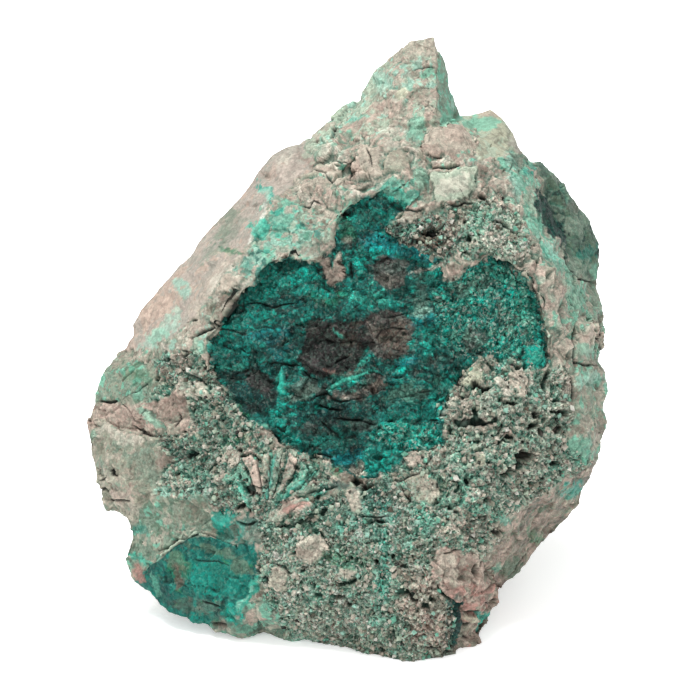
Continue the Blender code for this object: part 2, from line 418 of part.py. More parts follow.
def main():
    for obj in list(bpy.data.objects):
        bpy.data.objects.remove(obj)
    mesh = build_lump()
    refine(mesh)
    roughen(mesh)
    for vert in mesh.verts:
        vert.co = (vert.co - BOX_MIDDLE) * MM
    data = bpy.data.meshes.new(NODE)
    mesh.to_mesh(data)
    mesh.free()
    data.materials.append(stone_material())
    lump = bpy.data.objects.new(NODE, data)
    bpy.context.scene.collection.objects.link(lump)


main()
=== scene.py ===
"""Looks of the chrysocolla specimen: the finely broken skin of the stone, its colours and its loose-looking
grains.

Places on the show face are given as a viewer has them who stands in front of the stone, VIEW_DISTANCE away,
and looks down at it by VIEW_TILT, in millimetres: across is to the viewer's right of the middle, up is above
the line that the foremost foot touches, and away is behind that foot along the line of sight.
"""

import math

import bpy
import numpy as np
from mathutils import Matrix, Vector
from mathutils.bvhtree import BVHTree


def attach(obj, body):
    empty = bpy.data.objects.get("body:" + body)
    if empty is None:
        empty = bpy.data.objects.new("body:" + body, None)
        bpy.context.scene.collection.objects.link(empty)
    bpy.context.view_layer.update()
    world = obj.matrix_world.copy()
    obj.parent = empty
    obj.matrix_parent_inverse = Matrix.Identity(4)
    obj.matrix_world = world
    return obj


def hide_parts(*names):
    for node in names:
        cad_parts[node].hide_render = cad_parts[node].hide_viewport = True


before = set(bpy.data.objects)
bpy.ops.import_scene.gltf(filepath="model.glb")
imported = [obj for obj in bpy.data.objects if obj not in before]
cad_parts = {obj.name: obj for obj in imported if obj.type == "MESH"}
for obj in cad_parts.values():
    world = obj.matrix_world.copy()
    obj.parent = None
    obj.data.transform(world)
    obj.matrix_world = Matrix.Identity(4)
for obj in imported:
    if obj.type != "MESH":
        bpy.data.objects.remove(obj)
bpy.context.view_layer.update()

MM = 0.001
NODE = "chrysocolla_stone"

# The display frame, as the solid's own.
VIEW_TILT = math.radians(20.0)
VIEW_DISTANCE = 600.0
VIEW_WIDTH = 87.5
EYE_LEVEL = 38.9
BOX_MIDDLE = np.array((-0.54, 27.26, 0.0))

# The longest triangle side of the fine skin, in millimetres, on the show face, on the faces behind it and
# on the face that it stands on.
SHOW_SIDE = 0.27
BACK_SIDE = 0.62
UNDER_SIDE = 4.0 * BACK_SIDE
MOST_SPLITS = 5
# A place that is no higher than this, in millimetres, is on the floor.
ON_FLOOR = 0.01
# The skin is kept in pieces of under 200,000 triangles: what is behind, the hollow, and the rest of the
# show face in four, parted at this far across and this height.
PARTING = (3.0, 34.0)

# How far behind the nearest stone a place begins to count as hidden from the viewer, and is wholly hidden.
HIDDEN_FROM, HIDDEN_AT = 3.0, 8.0

# How far the corners of the flat faces between the solid's own corners stand in or out at most, in
# millimetres, and how far those of the smaller breaks do, as a share of the distance between them.
FACET = 1.0
JAG = 0.6

# The sizes of the shards that the stone breaks into, in millimetres, coarse to fine, and how steeply their
# faces slope.
SHARD_SIZES = (3.4, 1.6, 0.8, 0.42)
SHARD_SLOPE = 1.3

# How bright the stone's colours are beside the colours as named below, which are for a paler light.
TONE = 0.53

# Colours as the eye has them, red, green and blue from 0 to 255.
COLOURS = {
    "beige": (190, 178, 162), "cream": (212, 204, 188), "blush": (190, 168, 154), "rose": (176, 128, 118),
    "flank": (186, 174, 162), "flank cool": (172, 168, 156), "flank warm": (196, 174, 158),
    # pit is the colour of the shade painted into pits, cracks and all that is cut.
    "clay": (152, 132, 120), "umber": (104, 86, 74), "soot": (48, 42, 40), "pit": (12, 20, 18),
    "pebble": (156, 154, 136), "sage": (136, 152, 134), "moss": (98, 120, 100), "slate": (86, 106, 94),
    "lichen": (182, 196, 174), "olive": (186, 186, 162), "mint": (122, 190, 164),
    "pale mint": (164, 210, 190), "aqua": (66, 180, 156), "turquoise": (10, 160, 142),
    "teal": (0, 126, 112), "sea": (0, 98, 90), "deep": (0, 68, 66), "ink": (4, 38, 38),
    "charcoal": (46, 40, 40), "smoke": (84, 76, 72), "ash": (112, 106, 98), "azure": (8, 134, 138),
    "fern": (44, 126, 88), "white": (232, 228, 216),
}


# ---------------------------------------------------------------- the display frame
def as_seen(places):
    """(across, up, away) of places in millimetres from the foremost foot."""
    away = places[:, 1] * math.cos(VIEW_TILT) - places[:, 2] * math.sin(VIEW_TILT)
    rise = places[:, 1] * math.sin(VIEW_TILT) + places[:, 2] * math.cos(VIEW_TILT)
    spread = 1.0 + away / VIEW_DISTANCE
    return np.stack([places[:, 0] / spread, EYE_LEVEL + (rise - EYE_LEVEL) / spread, away], axis=1)


def eye():
    """The viewer's eye, in millimetres from the foremost foot."""
    return np.array((
        0.0,
        EYE_LEVEL * math.sin(VIEW_TILT) - VIEW_DISTANCE * math.cos(VIEW_TILT),
        EYE_LEVEL * math.cos(VIEW_TILT) + VIEW_DISTANCE * math.sin(VIEW_TILT),
    ))


# ---------------------------------------------------------------- repeatable chance
# Each use of chance has a salt of its own, which is any whole number, so that no two uses fall alike.
def scramble(cells, salt):
    """One repeatable number from 0 to 1 for each whole-number cell."""
    mixed = cells[:, 0] * 73856093 ^ cells[:, 1] * 19349663 ^ cells[:, 2] * 83492791 ^ salt * 40503
    mixed &= 0xFFFFFFFF
    mixed = (mixed ^ mixed >> 15) * 739982445 & 0xFFFFFFFF
    mixed = (mixed ^ mixed >> 12) * 695872825 & 0xFFFFFFFF
    return (mixed ^ mixed >> 15) / 4294967295.0


def own_cells(places):
    """Cells of a thousandth of a millimetre, so that each place has one of its own."""
    return np.round(places * 1000.0).astype(np.int64)


def smooth(x):
    """0 below 0, 1 above 1, and an even curve between."""
    x = np.clip(x, 0.0, 1.0)
    return x * x * (3.0 - 2.0 * x)


def waver(places, size, salt):
    """Smooth noise from -1 to 1 whose lumps are about this size."""
    scaled = places / size
    low = np.floor(scaled).astype(np.int64)
    part = smooth(scaled - low)
    total = np.zeros(len(places))
    for corner in np.ndindex(2, 2, 2):
        share = np.prod(np.where(corner, part, 1.0 - part), axis=1)
        total += share * scramble(low + corner, salt)
    return 2.0 * total - 1.0


def cloud(places, size, salt, octaves=3):
    """Noise from about -1 to 1 whose every octave is half as large as the last, and weaker."""
    total, reach = np.zeros(len(places)), 0.0
    for octave in range(octaves):
        share = 0.55 ** octave
        total += share * waver(places, size * 0.5 ** octave, salt + octave)
        reach += share
    return total / reach


class Shards:
    """The stone divided into cells of about one size, each with its own tilt and its own chance."""

    def __init__(self, places, size, salt):
        scaled = places / size
        low = np.floor(scaled).astype(np.int64)
        self.near = np.full(len(places), np.inf)
        self.next = np.full(len(places), np.inf)
        self.home = low.copy()
        self.arm = np.zeros_like(scaled)
        for step in np.ndindex(3, 3, 3):
            cell = low + np.array(step) - 1
            arm = scaled - cell - np.stack([scramble(cell, salt + axis) for axis in range(3)], axis=1)
            gap = np.sqrt((arm * arm).sum(axis=1))
            closer = gap < self.near
            self.next = np.where(closer, self.near, np.minimum(self.next, gap))
            self.near = np.where(closer, gap, self.near)
            self.home[closer] = cell[closer]
            self.arm[closer] = arm[closer]
        self.border = self.next - self.near

    def chance(self, salt, which=slice(None)):
        """The chance of the shard that each place, or each of some places, is in."""
        return scramble(self.home[which], salt)

    def plane(self, salt):
        """Each shard's own sloping face, from about -1 to 1."""
        tilt = np.stack([self.chance(salt + axis) for axis in range(3)], axis=1) * 2.0 - 1.0
        return (self.arm * tilt).sum(axis=1) * SHARD_SLOPE + self.chance(salt + 3) - 0.5


# ---------------------------------------------------------------- shapes on the show face
class Shape:
    """A shape on the show face: how far outside it a place is, in millimetres (less than 0 inside), and its
    box."""

    def __init__(self, gap, points, reach=0.0):
        self.gap = gap
        self.low = np.min(points, axis=0) - reach
        self.high = np.max(points, axis=0) + reach

    def near(self, seen, margin):
        """Which of the places are in the shape's box or this near it."""
        inside = (seen > self.low - margin) & (seen < self.high + margin)
        return np.flatnonzero(inside.all(axis=1))


def spot(across, up, wide, high, turn=0.0):
    """An ellipse, by its middle, its half width and half height, and its turn in degrees."""
    c, s = math.cos(math.radians(turn)), math.sin(math.radians(turn))

    def gap(seen):
        x, y = seen[:, 0] - across, seen[:, 1] - up
        reach = np.sqrt(((x * c + y * s) / wide) ** 2 + ((y * c - x * s) / high) ** 2)
        return (reach - 1.0) * min(wide, high)

    return Shape(gap, [(across, up)], max(wide, high))


def to_line(seen, points):
    """(distance to a run of points, share of the way along it)."""
    best = np.full(len(seen), np.inf)
    along = np.zeros(len(seen))
    for i, ((x0, y0), (x1, y1)) in enumerate(zip(points, points[1:])):
        dx, dy = x1 - x0, y1 - y0
        t = np.clip(((seen[:, 0] - x0) * dx + (seen[:, 1] - y0) * dy) / (dx * dx + dy * dy), 0.0, 1.0)
        gap = np.hypot(seen[:, 0] - x0 - t * dx, seen[:, 1] - y0 - t * dy)
        closer = gap < best
        best[closer] = gap[closer]
        along[closer] = ((i + t) / (len(points) - 1))[closer]
    return best, along


# A stroke has its full width from a sixth of its length on, and this share of it at its ends.
TAPER = 6.0
THIN_END = 0.3


def line(width, *points):
    """A stroke of this width, which tapers at its ends."""

    def gap(seen):
        best, along = to_line(seen, points)
        taper = np.clip(np.minimum(along, 1.0 - along) * TAPER, THIN_END, 1.0)
        return best - width / 2.0 * taper

    return Shape(gap, points, width / 2.0)


def area(*points):
    """A closed outline."""

    def gap(seen):
        best, _ = to_line(seen, points + points[:1])
        inside = np.zeros(len(seen), bool)
        for (x0, y0), (x1, y1) in zip(points, points[1:] + points[:1]):
            if y0 == y1:
                continue
            crosses = (y0 > seen[:, 1]) != (y1 > seen[:, 1])
            inside ^= crosses & (seen[:, 0] < x0 + (seen[:, 1] - y0) * (x1 - x0) / (y1 - y0))
        return np.where(inside, -best, best)

    return Shape(gap, points)


HOLLOW = area(
    (-17.5, 36.5), (-17.4, 40.2), (-16.2, 41.6), (-15.2, 43.2), (-14, 45.4), (-12, 47.2), (-10.8, 48.8),
    (-8.6, 50.1), (-5.2, 50.2), (-3.4, 50), (-2.4, 51.4), (-2, 54), (-0.6, 56.2), (1, 57.7), (4, 58.2),
    (6.6, 58), (6, 56), (4.4, 54.2), (6.5, 52.6), (8.8, 51.8), (11, 50.4), (11.4, 49.6), (12, 47.4),
    (13.6, 47.4), (15.4, 49.4), (17.6, 50.1), (19.4, 49.8), (21.4, 48.2), (23, 46.4), (24, 44.4),
    (24.2, 42.2), (25, 40.8), (24.9, 38.4), (24.2, 36.8), (22.6, 36.2), (21.4, 37.2), (19, 37.2),
    (17, 37.9), (15.6, 37.2), (14.2, 35.6), (13, 33.4), (12.2, 31.9), (11.5, 30.2), (11.3, 28.4),
    (11.9, 26.6), (10, 25.6), (7.6, 25.6), (6, 23.8), (4, 23.3), (1, 23.1), (-2, 24.2), (-4.2, 25.8),
    (-6.5, 25.9), (-8.4, 27), (-10.2, 28.9), (-12.2, 29.2), (-14.2, 31.4), (-15.8, 33.8),
)

# How each kind of surface breaks. heights: of its shards, coarse to fine, in millimetres. long: whether its
# shards lie drawn out from side to side. pores, cracks: how many. seam: how much of its low places the
# zone's seam colour fills. specks, and the key after it: how strong the pale grains, partly painted glints,
# and the painted shade in the hair cracks are.
# grain: how strong its finest grain is. facets, jags: how much it shows of how far each place stands out
# from large flat faces and from small ones. stain: how many of its grains are chrysocolla. patchy: how much
# paler and darker its patches are.
GRITS = {
    "smooth": dict(
        heights=(0.06, 0.03, 0.015, 0.01), facets=0.15, jags=0.08, long=0, pores=0, cracks=0,
        seam=0, specks=0.02, hair_crack_shade=0.05, grain=0.3, stain=0.08, patchy=0.10,
    ),
    "worn": dict(
        heights=(0.25, 0.08, 0.03, 0.02), facets=0.5, jags=0.2, long=0, pores=0, cracks=0.04,
        seam=0.3, specks=0.06, hair_crack_shade=0.2, grain=0.45, stain=0.2, patchy=0.25,
    ),
    "blocky": dict(
        heights=(0.34, 0.08, 0.03, 0.015), facets=1.5, jags=0.2, long=0, pores=0, cracks=0.06,
        seam=0.4, specks=0.08, hair_crack_shade=0.3, grain=0.5, stain=0.14, patchy=0.3,
    ),
    "crumbly": dict(
        heights=(0.30, 0.22, 0.14, 0.10), facets=0.6, jags=1.0, long=0, pores=0.12, cracks=0.06,
        seam=0.6, specks=0.7, hair_crack_shade=0.5, grain=1.0, stain=0.6, patchy=0.45,
    ),
    "sugary": dict(
        heights=(0.16, 0.16, 0.14, 0.10), facets=0.4, jags=0.9, long=0, pores=0.08, cracks=0.03,
        seam=0.6, specks=0.9, hair_crack_shade=0.4, grain=1.1, stain=0.6, patchy=0.45,
    ),
    "granular": dict(
        heights=(0.25, 0.20, 0.15, 0.10), facets=0.5, jags=0.9, long=0, pores=0, cracks=0.03,
        seam=0, specks=0.5, hair_crack_shade=0.6, grain=1.1, stain=0.5, patchy=0.45,
    ),
    "slaty": dict(
        heights=(0.38, 0.26, 0.10, 0.05), facets=0.9, jags=0.5, long=1, pores=0, cracks=0.10,
        seam=0, specks=0.12, hair_crack_shade=0.7, grain=0.8, stain=0.12, patchy=1.0,
    ),
}

# Stains of these colours are rock with hardly any chrysocolla in it.
PLAIN_COLOURS = (
    "beige", "cream", "blush", "rose", "clay", "umber", "soot", "charcoal", "smoke", "ash", "olive",
)

# The colours of the ground that no zone covers, with their shares.
HOST_COLOURS = (
    ("beige", 30), ("pebble", 24), ("blush", 12), ("sage", 16), ("clay", 10), ("mint", 4), ("umber", 4),
)

# Each zone of the show face: how it breaks, how soft its border is in millimetres, the colour of its seams,
# its colours with their shares, and its outline.
ZONES = (
    # upper ground
    ("blocky", 0.5, "aqua", (("beige", 30), ("blush", 18), ("cream", 12), ("pebble", 16), ("sage", 12),
     ("mint", 8), ("clay", 8)),
     area((-8, 58.4), (-6, 61), (-5, 65), (-1, 66), (4, 65), (10, 66.6), (16, 66.8), (17, 62.6), (20, 60),
          (22, 55), (24, 51), (27, 47), (27.6, 40), (26, 36), (24, 36), (25.4, 40), (24.4, 44), (20, 50),
          (16, 50.4), (12, 49), (8.5, 52.3), (5, 54.8), (7.5, 59), (3, 58.2), (0, 57.8), (-2.5, 55),
          (-5, 56.5))),
    # flank
    ("smooth", 0.3, "sage", (("flank", 55), ("flank cool", 30), ("flank warm", 15)),
     area((-33, 36), (-28.6, 38.6), (-25, 38.9), (-23, 39.6), (-20.2, 42.2), (-18.2, 44.6), (-17, 46.8),
          (-15, 49.2), (-13.5, 51.2), (-11.8, 54), (-10.6, 56.2), (-10.3, 57.6), (-8.4, 58.6), (-6.2, 60.2),
          (-4.8, 62.4), (-5.6, 67), (-14, 67), (-34, 46))),
    # crust strip
    ("worn", 0.4, "aqua", (("cream", 26), ("beige", 30), ("pale mint", 10), ("pebble", 16), ("blush", 12),
     ("clay", 6)),
     area((-25, 38.6), (-23, 39.4), (-20.2, 42), (-18.2, 44.4), (-17, 46.6), (-15, 49), (-13.5, 51),
          (-11.8, 53.8), (-10.6, 56), (-9, 57), (-9.5, 51.5), (-11.4, 48.8), (-14.6, 45.4), (-16.6, 42.2),
          (-18, 40.4), (-19, 37), (-22, 36.6))),
    # stained crust
    ("worn", 1.2, "turquoise", (("mint", 24), ("aqua", 8), ("pale mint", 12), ("beige", 18), ("clay", 8),
     ("sea", 8), ("sage", 16), ("lichen", 6)),
     area((-13.4, 50.6), (-11.6, 54), (-10.2, 57), (-7.6, 57.4), (-5, 56.2), (-3.4, 54.4), (-2.8, 51.4),
          (-5, 50.4), (-9, 50.6), (-11.4, 49))),
    # speckled ground
    ("sugary", 1.2, "mint", (("lichen", 22), ("pebble", 24), ("beige", 22), ("white", 6), ("umber", 10),
     ("mint", 10), ("sage", 6)),
     area((11.5, 57), (16, 57.6), (19, 58), (21.6, 55), (23, 52), (21, 50), (17, 50.6), (14, 51),
          (13, 54))),
    # dark rough
    ("crumbly", 1, "sea", (("umber", 30), ("soot", 14), ("smoke", 16), ("mint", 10), ("cream", 8),
     ("clay", 16), ("pebble", 6)),
     area((2.6, 53.4), (4.5, 55), (7.5, 55.4), (10, 56), (12.5, 55), (14.3, 53.6), (13.6, 51.8), (12, 50),
          (10.5, 51.2), (7.4, 52.4), (5, 52.8))),
    # chrysocolla
    ("slaty", 0.4, "deep", (("teal", 26), ("sea", 28), ("turquoise", 12), ("deep", 20), ("ink", 12),
     ("aqua", 2)),
     HOLLOW),
    # right lobe
    ("granular", 1.2, "deep", (("turquoise", 22), ("aqua", 20), ("teal", 24), ("sea", 14), ("mint", 10),
     ("deep", 6), ("ash", 4)),
     area((12.4, 46.8), (15.6, 49.2), (17.6, 49.8), (19.4, 49.4), (21.4, 47.8), (23.6, 44.4), (23.8, 42),
          (24.6, 38.4), (22.6, 36.6), (19, 37.4), (14, 38.4), (11, 40), (10.4, 43.4))),
    # turquoise field
    ("granular", 1, "deep", (("turquoise", 40), ("aqua", 26), ("teal", 24), ("sea", 10)),
     area((2.8, 27.6), (4.2, 29.8), (7.6, 30.2), (10.8, 29.8), (11, 27.4), (11.4, 26.2), (8, 25.8),
          (5.6, 26.6))),
    # rough left
    ("crumbly", 1, "aqua", (("beige", 20), ("blush", 12), ("clay", 14), ("sage", 16), ("mint", 12),
     ("pebble", 14), ("cream", 6), ("umber", 6)),
     area((-25, 38), (-19, 38.6), (-17.5, 36), (-15.6, 33.6), (-12.4, 29.4), (-8.4, 27), (-2, 24), (-3, 19),
          (-10, 18), (-16, 19), (-24, 21), (-25, 27), (-25.5, 33))),
    # pitted ground
    ("crumbly", 0.9, "aqua", (("beige", 24), ("cream", 18), ("pebble", 20), ("sage", 14), ("mint", 12),
     ("blush", 10), ("umber", 4)),
     area((11, 31.5), (14, 35.6), (17, 38), (21, 37.4), (24, 36.4), (28, 37), (33, 36), (33, 27),
          (29, 23.6), (24, 20.6), (19, 18.2), (17, 12.6), (9, 12), (5, 16), (5, 23), (8, 25.6),
          (11.5, 27))),
    # granular ground
    ("sugary", 1, "mint", (("sage", 24), ("pale mint", 8), ("mint", 10), ("pebble", 26), ("beige", 18),
     ("white", 5), ("moss", 9)),
     area((-12, 17.6), (-3, 20), (6, 24), (12, 20), (11.5, 12), (11.6, 1.6), (8, -1), (-6, 1), (-14, 2),
          (-11.4, 9), (-11, 14))),
    # left block
    ("worn", 0.5, "sage", (("pebble", 64), ("sage", 22), ("beige", 10), ("clay", 4)),
     area((-34, 28.6), (-30.5, 29.2), (-28, 28.2), (-24, 27.9), (-22.6, 25.6), (-24, 22.4), (-24.6, 17.6),
          (-34, 17))),
    # pink face
    ("worn", 0.5, "clay", (("clay", 40), ("blush", 40), ("beige", 20)),
     area((-34, 28.8), (-30.5, 29.6), (-28, 28.6), (-24, 28.3), (-20.5, 28.2), (-20, 31), (-21, 33.8),
          (-26, 32.3), (-34, 32.6))),
    # green face
    ("worn", 0.5, "mint", (("pebble", 34), ("sage", 40), ("moss", 16), ("mint", 10)),
     area((-34, 32.6), (-26, 32.3), (-24.2, 33), (-24, 36.6), (-27, 37), (-28.8, 38.4), (-34, 37))),
    # grey green face
    ("worn", 0.4, "mint", (("sage", 34), ("moss", 30), ("pebble", 18), ("mint", 12), ("beige", 6)),
     area((-30, 18), (-24.6, 20.4), (-18, 20.6), (-17, 18.2), (-17.4, 16.6), (-19, 16.9), (-20.4, 16),
          (-21.8, 15), (-23.8, 13.4), (-25.4, 11.9), (-26.6, 11.2), (-29, 11))),
    # teal facet
    ("worn", 0.3, "sea", (("teal", 28), ("sea", 52), ("deep", 12), ("fern", 8)),
     area((-27.4, 10.6), (-25.4, 11.7), (-24.4, 12.3), (-22, 14.2), (-20, 15.6), (-18.8, 16.2), (-17, 15.8),
          (-15, 14.9), (-14, 14.5), (-12, 14.9), (-11, 13.6), (-11.5, 11), (-12, 9), (-13, 6.6), (-14.4, 4),
          (-20, 3), (-27, 8))),
    # lobe foot
    ("worn", 0.6, "aqua", (("sage", 35), ("slate", 25), ("mint", 20), ("beige", 20)),
     area((-15, 5.6), (-13.2, 7), (-11, 8), (-9, 6), (-8, 2.4), (-13, 2), (-19, 3.6))),
    # undercut face: its own colours, painted darker as shade under the overhang
    ("worn", 0.5, "moss", (("clay", 30), ("ash", 20), ("blush", 18), ("pebble", 22), ("moss", 10)),
     area((30.4, 25.4), (28.4, 23.6), (26.4, 21.8), (24, 20.5), (22, 19.6), (19.6, 17.6), (18, 15),
          (17.4, 12), (16.8, 9), (20, 8), (26, 13), (31, 20))),
    # foot grit
    ("sugary", 1.6, "clay", (("blush", 24), ("clay", 20), ("beige", 22), ("pebble", 20), ("umber", 8),
     ("cream", 6)),
     area((6.4, 12.4), (10.4, 13.4), (13, 9), (13.4, 3), (13, -1), (7.4, 1))),
    # foot blocks
    ("blocky", 0.9, "clay", (("blush", 26), ("clay", 24), ("beige", 26), ("pebble", 16), ("rose", 8)),
     area((9.6, 12.2), (12, 14.4), (17, 12.8), (19, 10), (18, 5), (15.8, 1), (13.4, 1), (12.8, 7.4),
          (11.2, 9.4))),
    # right bands
    ("worn", 0.8, "mint", (("pebble", 28), ("sage", 24), ("beige", 22), ("mint", 16), ("clay", 10)),
     area((26.4, 49.5), (28.6, 51), (32, 48), (33, 40), (33, 27), (30.6, 24.6), (27.8, 27), (27.6, 33),
          (27.4, 37), (27, 42))),
    # dark flank: its own green-grey, painted darker as shade
    ("worn", 0.8, "aqua", (("slate", 42), ("moss", 34), ("sage", 14), ("ink", 10)),
     area((22, 62.6), (24.2, 60), (24.6, 57), (25.6, 54), (27, 50.5), (29, 48), (31, 47), (33, 52),
          (30, 60), (25, 64))),
    # shoulder band
    ("worn", 0.7, "aqua", (("mint", 34), ("pale mint", 16), ("sage", 30), ("beige", 20)),
     area((17.6, 63), (20.4, 59), (21.4, 55.6), (23, 52.2), (25.4, 49.6), (27, 47), (28, 49), (26.4, 51.5),
          (24.8, 54), (24, 57), (23.4, 59.6), (22.4, 62.4), (19, 64.6))),
    # block behind
    ("smooth", 0.4, "olive", (("olive", 50), ("lichen", 30), ("pebble", 20)),
     area((13.6, 70), (13.4, 67), (16, 66), (16, 62.8), (18, 62.4), (20, 64), (21.6, 63.4), (21.4, 67),
          (18, 70))),
    # peak
    ("worn", 0.8, "mint", (("beige", 34), ("blush", 24), ("lichen", 18), ("pale mint", 12), ("pebble", 12)),
     area((-1, 66), (3, 64.6), (8.6, 64.4), (10.6, 66.8), (11, 72), (11.4, 79), (7, 79), (1, 73))),
    # crest
    ("worn", 0.8, "mint", (("lichen", 60), ("pale mint", 20), ("beige", 20)),
     area((-6, 67), (-5.4, 64.6), (-3, 65), (-0.4, 66.4), (2.6, 69.4), (4.4, 72.6), (2, 75), (-2, 72))),
    # peak side
    ("smooth", 0.3, "mint", (("mint", 30), ("sage", 60), ("pale mint", 10)),
     area((11.2, 79), (10.9, 74), (11, 69), (11.3, 66.8), (13, 66.4), (14.2, 68), (13, 72), (12, 78))),
)

# Outlines that stand proud and have a colour too: four blocks at the right of the hollow and under it, with
# colours of their own, and the edge over the lobe at the lower left, pale as a painted highlight.
OLIVE_BLOCK = area((14, 34.8), (15.2, 36.4), (16.4, 37.2), (16.6, 35.2), (16, 34.2), (14.6, 34.2))
CREAM_BLOCK = area((18, 35.6), (19, 35.6), (20, 34.2), (20, 33), (19.2, 33), (18.4, 34.4))
BEIGE_BLOCK = area((19.8, 35.8), (20.6, 36.4), (21.8, 36), (22, 34.4), (21.6, 33), (20.6, 33), (20, 34.4))
PEBBLE_BLOCK = area(
    (6.6, 22.4), (8, 23.6), (9.4, 23.8), (10.8, 22.4), (11.2, 20.8), (10, 19.6), (8.2, 19.4), (7.2, 20.6),
)
LOBE_EDGE = ((-24.4, 12.6), (-23.2, 13.5), (-21.6, 14.7), (-20.2, 15.6), (-19, 16.4), (-18.2, 16.6))

